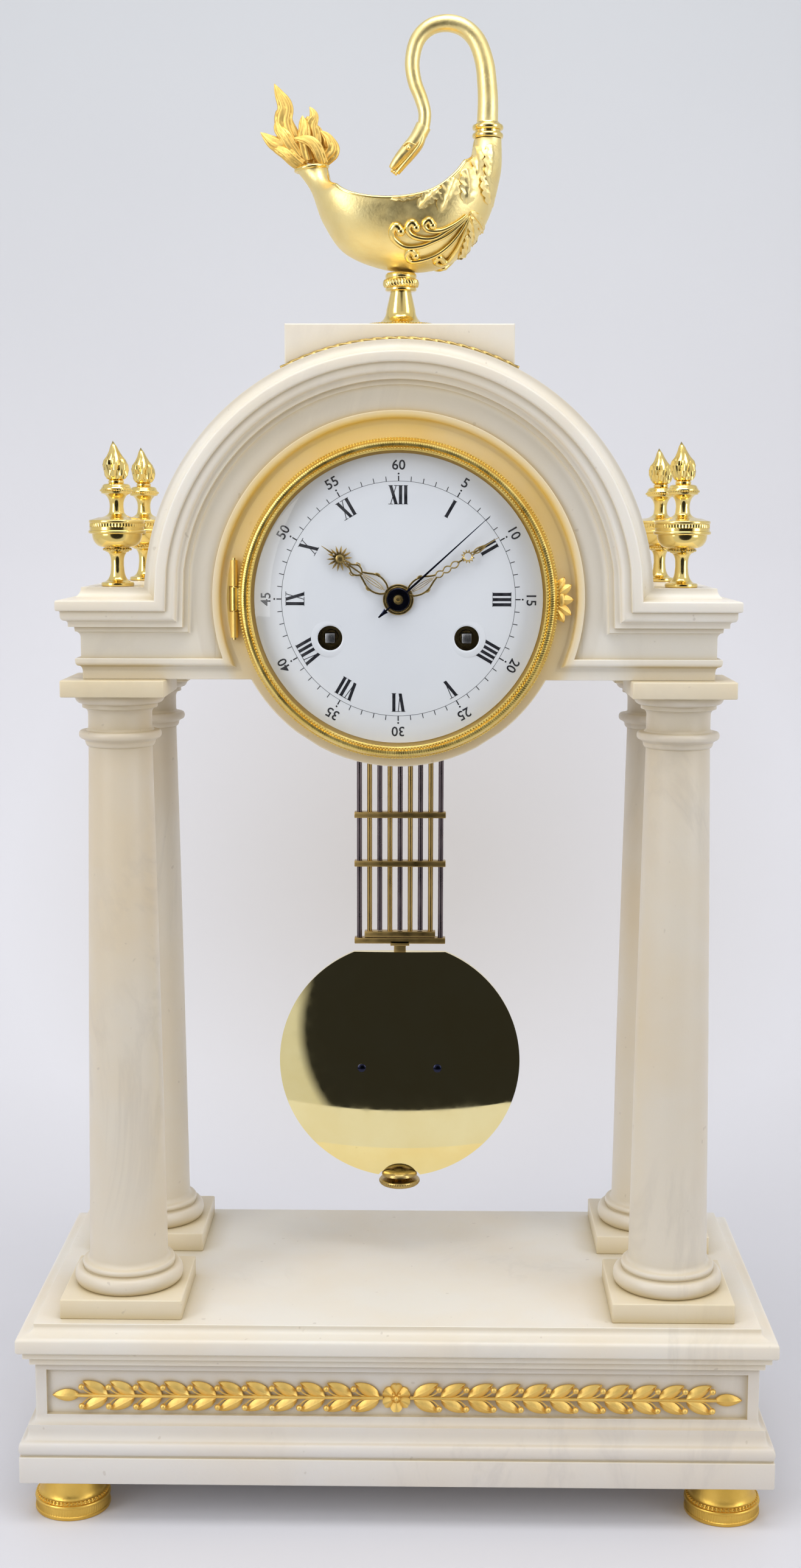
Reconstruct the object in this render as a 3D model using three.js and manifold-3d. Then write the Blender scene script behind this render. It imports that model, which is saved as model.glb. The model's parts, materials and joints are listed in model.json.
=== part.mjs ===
// Table regulator clock: a marble portico with four columns, an arched head that holds the
// drum movement, gilt mounts, and a gridiron pendulum that swings between the columns.
// Millimetres. X to the right, Y to the back, Z up. The origin is on the floor, under the centre.
import * as THREE from 'three';
import { mergeVertices } from 'three/addons/utils/BufferGeometryUtils.js';
import Module from 'manifold-3d';

const wasm = await Module();
wasm.setup();

// Driving dimensions

// Running and seating clearances
const seatGap = 0.3;
const runningGap = 0.35;

// Base
const footHeight = 19.5;
const footRadius = 16.6;
const footInset = 13.4;
const plinthHeight = 12.3;
const friezeHeight = 41.3;
const topSlabHeight = 18.3;
const friezeHalfDepth = 73.4;
const friezePastHead = 24.1;
const plinthProjection = 6.8;
const recessDepth = 2;
const recessSideMargin = 7;
const recessTopMargin = 3.1;
const recessFoot = 17.6;

// Laurel frieze ornament
const garlandRise = 8.2;
const garlandEndGap = 1.52;
const leafPairs = 11;
const leafLength = 11.7;
const leafWidth = 4.4;
const leafRise = 2.4;
const leafSlope = 0.55;
const leafRootHeight = 0.8;
const stemWidth = 1.8;
const rosetteRadius = 6.6;
const petals = 6;

// Columns
const headPastColumn = 13.8;
const columnFrontInset = 13.5;
const columnPlinthSide = 54.3;
const columnPlinthHeight = 8.9;
const columnHeight = 268.1;
const shaftTopRadius = 14;
const shaftFootRadius = 17.4;
const baseTorusRadius = 23.8;
const capitalRadius = 19.3;
const abacusSide = 44.8;
const abacusHeight = 7.3;

// Arched head
const headFrontInset = 18.3;
const dialCentreHeight = 34.8;
const archInsideColumn = 13.3;
const drumBeadLap = 0.8;
const friezeEdge = 30.3;
const beadWidth = 5.6;
const roomUnderBead = 3.7;
const drumRim = 4;
const slotHalfWidth = 34;
const slotDepth = 13;

// Crown block and its rope trim
const crownHalfWidth = 49.8;
const crownHalfDepth = 35;
const crownRise = 8.3;
const ropeRadius = 1.25;

// Urns
const urnHeight = 62.8;

// Lamp with the swan's-neck handle
const lampFootHeight = 25.2;
const lampFootRadius = 16.8;
const lampLength = 90.6;
const lampHalfBreadth = 23.5;
const lampWall = 1.6;
const neckRadius = 4.6;
const collarRadius = 7.2;
const collarHeight = 7;

// Bezel, glass and dial
const bezelWidth = 5.6;
const bezelFront = 9.5;
const glassLip = 1.1;
const glassSeatDepth = 7.3;
const glassThickness = 1.5;
const glassRise = 7.5;
const dialInsideBezel = 1;
const dialPastBore = 2.9;
const dialRise = 2.2;
const dialThickness = 1;
const hingeRadius = 1.6;
const hingePinRadius = 0.7;
const hingeHalfHeight = 16.5;
const hingeLeafThickness = 0.8;
const roomRoundBezel = 5.8;
const windingHoleRadius = 5.3;
const catchReach = 6.6;
const catchHalfHeight = 8.95;

// Hands, with their angles from twelve o'clock, clockwise
const hourHandInside = 23;
const minuteHandInside = 12.5;
const secondsHandInside = 10.2;
const secondsTail = 11.5;
const hourHandAngle = -55.3;
const minuteHandAngle = 58.2;
const secondsHandAngle = 47.7;
const handThickness = 0.4;
const handSpacing = 0.9;

// Movement, measured back from the face of the head
const plateThickness = 2;
const frontPlateBack = 11.1;
const backPlateBack = 53.1;
const backPlateClearance = 4;
const pillarRadius = 3;
const barrelLength = 18;
const barrelInsideWheel = 3;
const greatWheelRadius = 24;
const greatWheelTeeth = 32;
const greatWheelClearance = 1.3243;
const windingX = 29.3;
const windingDrop = 16.6;
const windingArborRadius = 2.9;
const windingSquare = 3.9;
const escapeRadius = 17;
const escapeTeeth = 60;
const escapeToBackPlate = 3.6;
const secondsArborRadius = 0.8;
const palletArborRise = 25.5;
const palletArborRadius = 1.1;
const palletSwing = 1.6;
const bellRadius = 27;
const bellWall = 1.5;
const bellDepth = 15;
const bellBack = 77.1;

// Pendulum, with drops measured from the point on which it swings
const pendulumBehindCock = 3;
const suspensionRise = 45.5;
const rodSpacing = 4.77;
const rodRadius = 1.2;
const barHalfDepth = 2.4;
const barHeight = 2.8;
const barPastRod = 2.32;
const topBarDrop = 64;
const upperGuideRise = 59.9;
const lowerGuideRise = 36.8;
const footBarAboveBob = 4.4;
const hookTopDrop = 4;
const hookHeight = 12;
const bobRadius = 55.6;
const bobHalfThickness = 7;
const bobHalfEdge = 1.2;
const bobFlatCut = 3.7;
const nutBelowBob = 7.2;
const roomUnderNut = 37;
const nutRadius = 9.4;
const nutDomeRadius = 8.8;
const nutBossRadius = 2.8;
const nutHeight = 11.8;
const crutchRise = -8.5;

// The bore that holds the movement, and round it the dial, the bezel, the drum and the arch
const boreRadius = Math.hypot(windingX, windingDrop) + greatWheelRadius + greatWheelClearance;
const dialRadius = boreRadius + dialPastBore;
const sightRadius = dialRadius + dialInsideBezel;
const glassRadius = sightRadius + glassLip;
const bezelRadius = sightRadius + bezelWidth;
const drumRadius = bezelRadius + drumRim;
const beadInnerRadius = bezelRadius + roomRoundBezel;
const drumBeadRadius = beadInnerRadius + beadWidth;
const archRadius = drumBeadRadius - drumBeadLap + friezeEdge;
const beadEdge = friezeEdge + beadWidth;
const headHeight = beadEdge + roomUnderBead;
const hourHandLength = sightRadius - hourHandInside;
const minuteHandLength = sightRadius - minuteHandInside;
const secondsHandLength = sightRadius - secondsHandInside;

// The columns beside the arch, and the widths and depths of what stands over and under them
const columnX = archRadius + archInsideColumn;
const headHalfWidth = columnX + headPastColumn;
const friezeHalfWidth = headHalfWidth + friezePastHead;
const headHalfDepth = friezeHalfDepth - headFrontInset;
const columnY = headHalfDepth - columnFrontInset;
const footX = friezeHalfWidth - footInset;
const footY = friezeHalfDepth - footInset;

// Sizes of the movement that follow
const barrelRadius = greatWheelRadius - barrelInsideWheel;
const backPlateRadius = boreRadius - backPlateClearance;
const frontPlateFrom = frontPlateBack - plateThickness;
const backPlateFrom = backPlateBack - plateThickness;
const barrelFrom = frontPlateBack + 4;
const greatWheelFrom = barrelFrom + barrelLength;
const escapeBack = backPlateFrom - escapeToBackPlate;
const crutchThickness = 2;
const crutchFrom = backPlateBack + 2.5;
const cockThickness = 2;
const cockFrom = crutchFrom + crutchThickness + 1.5;
const pendulumBack = cockFrom + cockThickness + pendulumBehindCock;

// Levels that follow from the sizes above
const plinthTop = footHeight + plinthHeight;
const friezeTop = plinthTop + friezeHeight;
const floorOfPortico = friezeTop + topSlabHeight;
const columnFoot = floorOfPortico + columnPlinthHeight;
const abacusFoot = columnFoot + columnHeight;
const headFoot = abacusFoot + abacusHeight;
const headTop = headFoot + headHeight;
const dialCentre = headFoot + dialCentreHeight;
const crownTop = dialCentre + archRadius + crownRise;
const lampSeat = crownTop + lampFootHeight;
const headFace = -headHalfDepth;
const pendulumPlane = headFace + pendulumBack;
const suspensionPoint = dialCentre + suspensionRise;

// Sizes of the pendulum that follow from those levels
const nutDrop = suspensionPoint - floorOfPortico - roomUnderNut;
const bobDrop = nutDrop - nutBelowBob - bobRadius;
const bobFlatRise = bobRadius - bobFlatCut;
const lowerFootDrop = bobDrop - bobFlatRise - footBarAboveBob;
const upperFootDrop = lowerFootDrop - barHeight - seatGap;
const guideBarDrops = [lowerFootDrop - upperGuideRise, lowerFootDrop - lowerGuideRise];
const barHalfWidth = 4 * rodSpacing + barPastRod;
const upperFootHalfWidth = 3 * rodSpacing + barPastRod;

// Materials
function finish(color, roughness, metalness) {
  return new THREE.MeshStandardMaterial({ color, roughness, metalness });
}

const whiteMarble = finish(0xe9e4dc, 0.35, 0);
const ivoryMarble = finish(0xe6dcc4, 0.35, 0);
const matteGilt = finish(0xe0ae45, 0.45, 1);
const brightGilt = finish(0xe6b84c, 0.15, 1);
const brass = finish(0xb99a55, 0.3, 1);
const polishedBrass = finish(0xe3cf93, 0.05, 1);
const steel = finish(0x3c3a42, 0.35, 1);
const enamel = finish(0xeff2f7, 0.12, 0);
const bellMetal = finish(0xb9b4a6, 0.3, 1);
const clearGlass = finish(0xeef4f6, 0.02, 0);
clearGlass.transparent = true;
clearGlass.opacity = 0.2;

// Geometry helpers

function closed(geometry) {
  // Merges shared corners, drops the slivers that this leaves and turns the faces outwards.
  geometry.deleteAttribute('normal');
  geometry.deleteAttribute('uv');
  const merged = mergeVertices(geometry, 1e-4);
  const corners = merged.index.array;
  const kept = [];
  for (let i = 0; i < corners.length; i += 3) {
    const [a, b, c] = [corners[i], corners[i + 1], corners[i + 2]];
    if (a !== b && b !== c && a !== c) kept.push(a, b, c);
  }
  if (enclosedVolume(merged.attributes.position, kept) < 0) kept.reverse();
  merged.setIndex(kept);
  return merged;
}

function enclosedVolume(position, corners) {
  const [a, b, c] = [new THREE.Vector3(), new THREE.Vector3(), new THREE.Vector3()];
  let volume = 0;
  for (let i = 0; i < corners.length; i += 3) {
    a.fromBufferAttribute(position, corners[i]);
    b.fromBufferAttribute(position, corners[i + 1]);
    c.fromBufferAttribute(position, corners[i + 2]);
    volume += a.dot(b.cross(c)) / 6;
  }
  return volume;
}

function solid(geometry) {
  const shape = closed(geometry);
  const vertProperties = new Float32Array(shape.attributes.position.array);
  const triVerts = new Uint32Array(shape.index.array);
  return new wasm.Manifold(new wasm.Mesh({ numProp: 3, vertProperties, triVerts }));
}

function surface(body) {
  const mesh = body.getMesh();
  const geometry = new THREE.BufferGeometry();
  geometry.setAttribute('position', new THREE.BufferAttribute(new Float32Array(mesh.vertProperties), 3));
  geometry.setIndex(Array.from(mesh.triVerts));
  geometry.computeVertexNormals();
  return geometry;
}

function join(geometries) {
  return geometries.map(solid).reduce((whole, part) => whole.add(part));
}

function cut(body, geometries) {
  return geometries.map(solid).reduce((whole, part) => whole.subtract(part), body);
}

function planPoints(points) {
  return points.map(([x, y]) => new THREE.Vector2(x, y));
}

function block(xFrom, xTo, yFrom, yTo, zFrom, zTo) {
  const geometry = new THREE.BoxGeometry(xTo - xFrom, yTo - yFrom, zTo - zFrom);
  return geometry.translate((xFrom + xTo) / 2, (yFrom + yTo) / 2, (zFrom + zTo) / 2);
}

function upright(profile, segments) {
  // Turns a profile of [radius, height] points about the Z axis.
  return new THREE.LatheGeometry(planPoints(profile), segments).rotateX(Math.PI / 2);
}

function turnedAlongY(profile, segments) {
  // Turns a profile of [radius, y] points about the Y axis.
  return new THREE.LatheGeometry(planPoints(profile), segments);
}

function frontal(outline, yFrom, yTo, holes = []) {
  // Extrudes an outline of [x, z] points from yFrom back to yTo.
  const shape = new THREE.Shape(planPoints(outline));
  shape.holes = holes.map((hole) => new THREE.Path(planPoints(hole)));
  const depth = yTo - yFrom;
  const geometry = new THREE.ExtrudeGeometry(shape, { depth, bevelEnabled: false, curveSegments: 1 });
  return geometry.rotateX(Math.PI / 2).translate(0, yTo, 0);
}

function rodAlongY(x, z, radius, yFrom, yTo, segments = 10) {
  const geometry = new THREE.CylinderGeometry(radius, radius, yTo - yFrom, segments);
  return geometry.translate(x, (yFrom + yTo) / 2, z);
}

function rodAlongZ(x, y, radius, zFrom, zTo, segments = 6) {
  const geometry = new THREE.CylinderGeometry(radius, radius, zTo - zFrom, segments).rotateX(Math.PI / 2);
  return geometry.translate(x, y, (zFrom + zTo) / 2);
}

function circle(radius, segments, x = 0, z = 0) {
  return Array.from({ length: segments }, (_, i) => {
    const turn = (2 * Math.PI * i) / segments;
    return [x + radius * Math.cos(turn), z + radius * Math.sin(turn)];
  });
}

function endFaces(section) {
  // Fills a flat outline of [x, y] points with triangles that run the same way round as it does.
  const outline = planPoints(section);
  const faces = THREE.ShapeUtils.triangulateShape(outline, []);
  const faceArea = THREE.ShapeUtils.area(faces[0].map((i) => outline[i]));
  const sameWay = THREE.ShapeUtils.area(outline) * faceArea > 0;
  return sameWay ? faces : faces.map(([a, b, c]) => [a, c, b]);
}

function loft(rings, section = circle(1, rings[0].length)) {
  // Skins a row of rings that have as many points each, and closes both ends after the section.
  const count = rings[0].length;
  const position = rings.flat().flatMap((point) => [point.x, point.y, point.z]);
  const index = [];
  for (let ring = 0; ring + 1 < rings.length; ring += 1) {
    for (let i = 0; i < count; i += 1) {
      const a = ring * count + i;
      const b = ring * count + ((i + 1) % count);
      index.push(a, b, b + count, a, b + count, a + count);
    }
  }
  const last = (rings.length - 1) * count;
  for (const [a, b, c] of endFaces(section)) index.push(a, c, b, last + a, last + b, last + c);
  const geometry = new THREE.BufferGeometry();
  geometry.setAttribute('position', new THREE.Float32BufferAttribute(position, 3));
  geometry.setIndex(index);
  return geometry;
}

// A moulding outline, drawn as [out, along] points: straight runs, hollows and rounds.
class Moulding {
  constructor(out, along) {
    this.points = [[out, along]];
  }

  to(out, along) {
    this.points.push([out, along]);
    return this;
  }

  quarter(out, along, steps, outFirst) {
    // A quarter of an ellipse that sets off along the first or along the second direction.
    const [startOut, startAlong] = this.points.at(-1);
    for (let i = 1; i <= steps; i += 1) {
      const turn = (Math.PI / 2) * (i / steps);
      const [early, late] = [Math.sin(turn), 1 - Math.cos(turn)];
      const outNow = startOut + (out - startOut) * (outFirst ? early : late);
      const alongNow = startAlong + (along - startAlong) * (outFirst ? late : early);
      this.points.push([outNow, alongNow]);
    }
    return this;
  }

  sideways(out, along, steps = 3) {
    return this.quarter(out, along, steps, true);
  }

  lengthways(out, along, steps = 3) {
    return this.quarter(out, along, steps, false);
  }
}

function mouldedBlock(profile, halfWidth, yFront, yBack, backMoves) {
  // Stacks rectangles that stand out by the profile's first value at its second value, a height.
  const rings = profile.map(([out, height]) => {
    const back = backMoves ? yBack + out : yBack;
    return [
      new THREE.Vector3(-halfWidth - out, yFront - out, height),
      new THREE.Vector3(halfWidth + out, yFront - out, height),
      new THREE.Vector3(halfWidth + out, back, height),
      new THREE.Vector3(-halfWidth - out, back, height),
    ];
  });
  return loft(rings);
}

const clock = new THREE.Group();

function place(parent, name, geometry, material, x = 0, y = 0, z = 0) {
  const mesh = new THREE.Mesh(geometry, material);
  mesh.name = name;
  mesh.position.set(x, y, z);
  parent.add(mesh);
  return mesh;
}

const corners = [
  { name: 'front_left', x: -1, y: -1 },
  { name: 'front_right', x: 1, y: -1 },
  { name: 'back_left', x: -1, y: 1 },
  { name: 'back_right', x: 1, y: 1 },
];

// Base

function basePlinth() {
  const edge = 0.6;
  const profile = new Moulding(plinthProjection - edge, footHeight)
    .to(plinthProjection, footHeight + edge)
    .to(plinthProjection, plinthTop - edge)
    .to(plinthProjection - edge, plinthTop);
  return closed(mouldedBlock(profile.points, friezeHalfWidth, -friezeHalfDepth, friezeHalfDepth, true));
}

function friezeBlock() {
  const profile = new Moulding(plinthProjection - 1, plinthTop)
    .to(plinthProjection - 1, plinthTop + 0.6)
    .to(plinthProjection, plinthTop + 1.8)
    .to(plinthProjection, plinthTop + 5)
    .to(plinthProjection - 1, plinthTop + 6.5)
    .to(plinthProjection - 1.6, plinthTop + 6.7)
    .sideways(3, plinthTop + 10.8)
    .to(3, plinthTop + 13.5)
    .to(0, plinthTop + 17.2)
    .to(0, friezeTop);
  const body = solid(mouldedBlock(profile.points, friezeHalfWidth, -friezeHalfDepth, friezeHalfDepth, true));
  const recessHalfWidth = friezeHalfWidth - recessSideMargin;
  const recessTop = friezeTop - recessTopMargin;
  const recess = block(
    -recessHalfWidth, recessHalfWidth,
    -friezeHalfDepth - recessDepth, -friezeHalfDepth + recessDepth,
    plinthTop + recessFoot, recessTop,
  );
  return surface(cut(body, [recess]));
}

function topSlab() {
  const profile = new Moulding(2.2, friezeTop)
    .to(2.2, friezeTop + 3.4)
    .to(4.7, friezeTop + 3.6)
    .to(4.7, friezeTop + 6.4)
    .to(6.6, friezeTop + 6.8)
    .to(7.3, friezeTop + 7.6)
    .to(7.3, floorOfPortico - 5.9)
    .to(5.4, floorOfPortico - 4.9)
    .sideways(-2.9, floorOfPortico - 1.2)
    .to(-2.9, floorOfPortico);
  return closed(mouldedBlock(profile.points, friezeHalfWidth, -friezeHalfDepth, friezeHalfDepth, true));
}

function foot() {
  const profile = new Moulding(0, 0)
    .to(footRadius - 0.7, 0)
    .to(footRadius, 0.7)
    .to(footRadius, 8)
    .to(footRadius - 1, 8.8)
    .to(footRadius + 0.2, 10.6)
    .to(footRadius - 0.8, 14)
    .to(footRadius - 3.8, 15.4)
    .to(footRadius - 4.2, footHeight)
    .to(0, footHeight);
  return closed(upright(profile.points, 13));
}

function laurelLeaf() {
  // A pointed leaf with a raised rib, from its root at the origin along +X, its back on the XZ plane.
  const stations = [[0, 0.2], [0.45, 1], [1, 0.08]];
  return loft(stations.map(([along, share]) => {
    const x = along * leafLength;
    const halfWidth = (share * leafWidth) / 2;
    return [
      new THREE.Vector3(x, 0, -halfWidth),
      new THREE.Vector3(x, -leafRise * share, 0),
      new THREE.Vector3(x, 0, halfWidth),
    ];
  }));
}

function laurelGarland(side) {
  // One branch of leaf pairs that starts beside the rosette and points outwards.
  const start = rosetteRadius + seatGap;
  const end = friezeHalfWidth - recessSideMargin - garlandEndGap - leafLength + 1;
  const leafPitch = (end - start - leafLength * 0.4) / leafPairs;
  const stem = block(start, end, -leafRise * 0.7, 0, -stemWidth / 2, stemWidth / 2);
  const leaves = [];
  for (let pair = 0; pair < leafPairs; pair += 1) {
    for (const upDown of [-1, 1]) {
      const leaf = laurelLeaf().rotateY(-upDown * leafSlope);
      leaves.push(leaf.translate(start + 0.8 + pair * leafPitch, 0, upDown * leafRootHeight));
    }
  }
  leaves.push(laurelLeaf().translate(end - 1, 0, 0));
  const half = join([stem, ...leaves]);
  return surface(side > 0 ? half : half.mirror([1, 0, 0]));
}

function rosette() {
  const outline = Array.from({ length: petals * 6 }, (_, i) => {
    const turn = (2 * Math.PI * i) / (petals * 6);
    const radius = rosetteRadius * (0.84 + 0.16 * Math.abs(Math.cos((petals / 2) * turn)));
    return [radius * Math.sin(turn), radius * Math.cos(turn)];
  });
  const petalRing = frontal(outline, -1.4, 0);
  const boss = turnedAlongY([[0, -3], [1.4, -2.6], [2.4, -1.6], [2.4, -0.7], [0, -0.7]], 12);
  return surface(join([petalRing, boss]));
}

function buildBase() {
  const base = new THREE.Group();
  place(base, 'base_plinth', basePlinth(), ivoryMarble);
  place(base, 'frieze_block', friezeBlock(), whiteMarble);
  place(base, 'base_top_slab', topSlab(), whiteMarble);
  for (const corner of corners) {
    place(base, `foot_${corner.name}`, foot(), matteGilt, corner.x * footX, corner.y * footY, 0);
  }
  const ornament = new THREE.Group();
  ornament.position.set(0, -friezeHalfDepth + recessDepth, plinthTop + recessFoot + garlandRise);
  place(ornament, 'laurel_garland_left', laurelGarland(-1), matteGilt);
  place(ornament, 'laurel_garland_right', laurelGarland(1), matteGilt);
  place(ornament, 'frieze_rosette', rosette(), matteGilt);
  base.add(ornament);
  return base;
}

// Columns

function column() {
  const shaftFoot = 12;
  const capitalDrop = 23;
  const shaftLength = columnHeight - capitalDrop - shaftFoot;
  // The shaft swells a little between its foot and its top.
  const middleRadius = shaftFootRadius - (shaftFootRadius - shaftTopRadius) * 0.5 ** 1.5;
  const profile = new Moulding(0, 0)
    .to(baseTorusRadius - 1.4, 0)
    .to(baseTorusRadius, 3.7)
    .to(baseTorusRadius - 1.4, 7.5)
    .to(shaftFootRadius + 2.6, 7.7)
    .to(shaftFootRadius + 2.6, 10)
    .to(shaftFootRadius, shaftFoot)
    .to(middleRadius, shaftFoot + shaftLength / 2)
    .to(shaftTopRadius, columnHeight - capitalDrop)
    .to(shaftTopRadius + 1.4, columnHeight - 20.5)
    .to(shaftTopRadius + 4.1, columnHeight - 18.8)
    .to(shaftTopRadius + 4.1, columnHeight - 16.6)
    .to(shaftTopRadius, columnHeight - 15)
    .to(shaftTopRadius, columnHeight - 7.6)
    .to(shaftTopRadius + 2.5, columnHeight - 5)
    .to(capitalRadius - 0.4, columnHeight - 2.4)
    .to(capitalRadius, columnHeight)
    .to(0, columnHeight);
  return closed(upright(profile.points, 14));
}

function squareSlab(side, height, edge) {
  const half = side / 2;
  const profile = [[-edge, 0], [0, edge], [0, height - edge], [-edge, height]];
  return closed(mouldedBlock(profile, half, -half, half, true));
}

function buildColumns() {
  const columns = new THREE.Group();
  for (const corner of corners) {
    const stand = new THREE.Group();
    stand.position.set(corner.x * columnX, corner.y * columnY, 0);
    const plinth = squareSlab(columnPlinthSide, columnPlinthHeight, 0.4);
    const abacus = squareSlab(abacusSide, abacusHeight, 0.3);
    place(stand, `column_plinth_${corner.name}`, plinth, ivoryMarble, 0, 0, floorOfPortico);
    place(stand, `column_${corner.name}`, column(), whiteMarble, 0, 0, columnFoot);
    place(stand, `abacus_${corner.name}`, abacus, ivoryMarble, 0, 0, abacusFoot);
    columns.add(stand);
  }
  return columns;
}

// Arched head

// The cornice, drawn from the top edge inwards: how far it stands out, and how far in it lies.
const cornice = new Moulding(0, 0)
  .lengthways(4.5, 5.1, 2)
  .to(10.9, 5.8)
  .to(11.8, 6.4)
  .to(11.8, 10.3)
  .to(9.9, 10.5)
  .to(9.9, 13)
  .lengthways(6.5, 16.4, 2)
  .to(6.5, 17.8)
  .to(3.8, 18)
  .to(3.8, 19.8)
  .sideways(0.5, 22.2, 2)
  .to(0.5, friezeEdge).points;

// The bead under the frieze, which also rings the drum.
const bead = new Moulding(0.5, friezeEdge)
  .to(2.9, friezeEdge + 0.3)
  .to(3.6, friezeEdge + 1.8)
  .to(2.4, friezeEdge + 3.4)
  .to(0, beadEdge).points;

const skinDepth = 5;
const wide = 2 * friezeHalfWidth;

function sweptAlongHead(profile, mitre, arc, turns) {
  // Runs a moulding from the back of the left wing to its front, up over the arch and down again.
  // The mitre and the arc say where, seen from the front, a line that lies so far in passes.
  const inner = profile.at(-1)[1];
  const section = [...profile, [-skinDepth, inner], [-skinDepth, profile[0][1]]];
  const ring = (at) => section.map(([out, inwards]) => new THREE.Vector3(...at(out, inwards)));
  const onFront = ([x, z], out) => [x, headFace - out, z];
  const wing = (side) => [
    ring((out, inwards) => [side * (headHalfWidth + out), headHalfDepth, headTop - inwards]),
    ring((out, inwards) => [side * (headHalfWidth + out), headFace - out, headTop - inwards]),
    ring((out, inwards) => onFront(mitre(side, inwards), out)),
  ];
  const over = turns.map((turn) => ring((out, inwards) => onFront(arc(turn, inwards), out)));
  return loft([...wing(-1), ...over, ...wing(1).reverse()], section);
}

function evenTurns(limit, step) {
  const count = Math.round((2 * limit) / step);
  return Array.from({ length: count + 1 }, (_, i) => ((i * step - limit) * Math.PI) / 180);
}

function overDial(radius, turn) {
  return [radius * Math.sin(turn), dialCentre + radius * Math.cos(turn)];
}

function sweptCornice() {
  // Mitred at 45 degrees where it turns up from the wings into the arch.
  const mitre = (side, inwards) => [side * (archRadius - inwards), headTop - inwards];
  const arc = (turn, inwards) => overDial(archRadius - inwards, turn);
  return sweptAlongHead(cornice, mitre, arc, evenTurns(82.5, 7.5));
}

function sweptBead() {
  // Leaves the wings along a slanting line and runs round the upper part of the drum.
  const radiusOf = (inwards) => drumBeadRadius - (inwards - friezeEdge);
  const meeting = (inwards) => Math.sqrt(radiusOf(inwards) ** 2 - (dialCentre - headTop + inwards) ** 2);
  const mitre = (side, inwards) => [side * meeting(inwards), headTop - inwards];
  const arc = (turn, inwards) => overDial(radiusOf(inwards), turn);
  return sweptAlongHead(bead, mitre, arc, evenTurns(105, 7.5));
}

function friezeOfArch() {
  // The flat band between the cornice and the bead, a little proud of the face below.
  const [level, foot] = [dialCentre, headTop - friezeEdge];
  const bandRadius = archRadius - 22;
  const arc = circle(bandRadius, 24, 0, level).slice(0, 13);
  const outline = [[bandRadius, foot], ...arc, [-bandRadius, foot]];
  const plate = solid(frontal(outline, headFace - 0.5, headFace + skinDepth));
  const innerRadius = drumBeadRadius - 0.5;
  return plate.subtract(solid(rodAlongY(0, level, innerRadius, -wide, wide, 24)));
}

function headCore() {
  const arc = circle(archRadius, 48, 0, dialCentre).slice(0, 25);
  const outline = [
    [-headHalfWidth, headFoot], [headHalfWidth, headFoot], [headHalfWidth, headTop], [archRadius, headTop],
    ...arc,
    [-archRadius, headTop], [-headHalfWidth, headTop],
  ].filter(([x, z]) => Math.abs(x) !== archRadius || z >= headTop);
  const drum = rodAlongY(0, dialCentre, drumRadius, headFace, headHalfDepth, 40);
  return join([frontal(outline, headFace, headHalfDepth), drum]);
}

function archHead() {
  const body = headCore().add(join([sweptCornice(), sweptBead()])).add(friezeOfArch());
  const bore = rodAlongY(0, dialCentre, boreRadius, -wide, wide, 32);
  const slot = block(
    -slotHalfWidth, slotHalfWidth,
    pendulumPlane - slotDepth / 2, pendulumPlane + slotDepth / 2,
    dialCentre - drumRadius - 5, dialCentre - boreRadius * 0.7,
  );
  return surface(cut(body, [bore, slot]));
}

function crownBlock() {
  const seatRadius = archRadius + seatGap;
  const reach = Math.asin(crownHalfWidth / seatRadius);
  const steps = 14;
  const saddle = Array.from({ length: steps + 1 }, (_, i) => {
    const turn = reach * (1 - (2 * i) / steps);
    return [seatRadius * Math.sin(turn), dialCentre + seatRadius * Math.cos(turn)];
  });
  const outline = [[-crownHalfWidth, crownTop], ...saddle.reverse(), [crownHalfWidth, crownTop]];
  return closed(frontal(outline, -crownHalfDepth, crownHalfDepth));
}

function ropeTrim() {
  const radius = archRadius + seatGap + ropeRadius;
  const y = -crownHalfDepth - seatGap - ropeRadius;
  const reach = Math.asin((crownHalfWidth + 1.5) / radius);
  const steps = 12;
  const rings = Array.from({ length: steps + 1 }, (_, i) => {
    const turn = reach * ((2 * i) / steps - 1);
    return circle(ropeRadius, 6).map(([out, back]) => new THREE.Vector3(
      (radius + out) * Math.sin(turn), y + back, dialCentre + (radius + out) * Math.cos(turn),
    ));
  });
  return closed(loft(rings));
}

function urn() {
  // Drawn 62.8 high and then brought to size.
  const profile = new Moulding(0, 0)
    .to(7.2, 0)
    .to(7.2, 1.9)
    .sideways(2.7, 7.5, 2)
    .to(2.8, 11)
    .lengthways(6.4, 15.8, 2)
    .sideways(10.8, 22.6, 2)
    .to(12.4, 23.2)
    .to(12.1, 28.8)
    .sideways(3, 33, 2)
    .to(3.2, 36)
    .lengthways(7.3, 40.8, 1)
    .to(7.3, 42.3)
    .to(3.6, 45.2)
    .to(5.8, 51)
    .to(1.9, 59)
    .to(0, 62.8);
  const unit = urnHeight / profile.points.at(-1)[1];
  return closed(upright(profile.points.map(([out, rise]) => [out * unit, rise * unit]), 9));
}

function buildHead() {
  const head = new THREE.Group();
  place(head, 'arch_head', archHead(), whiteMarble);
  place(head, 'crown_block', crownBlock(), ivoryMarble);
  place(head, 'rope_trim', ropeTrim(), matteGilt);
  for (const corner of corners) {
    place(head, `urn_${corner.name}`, urn(), brightGilt, corner.x * columnX, corner.y * columnY, headTop);
  }
  return head;
}

// Lamp with the swan's-neck handle, drawn from its seat on the turned foot

function lampFoot() {
  const profile = new Moulding(0, 0)
    .to(lampFootRadius, 0)
    .to(lampFootRadius, 1.8)
    .to(lampFootRadius - 4.6, 3)
    .sideways(6.4, 9, 2)
    .to(5, lampFootHeight - 8)
    .to(7, lampFootHeight - 7.2)
    .to(8.1, lampFootHeight - 4.8)
    .to(7, lampFootHeight - 2.6)
    .to(7, lampFootHeight)
    .to(0, lampFootHeight);
  return closed(upright(profile.points, 16));
}

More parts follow.
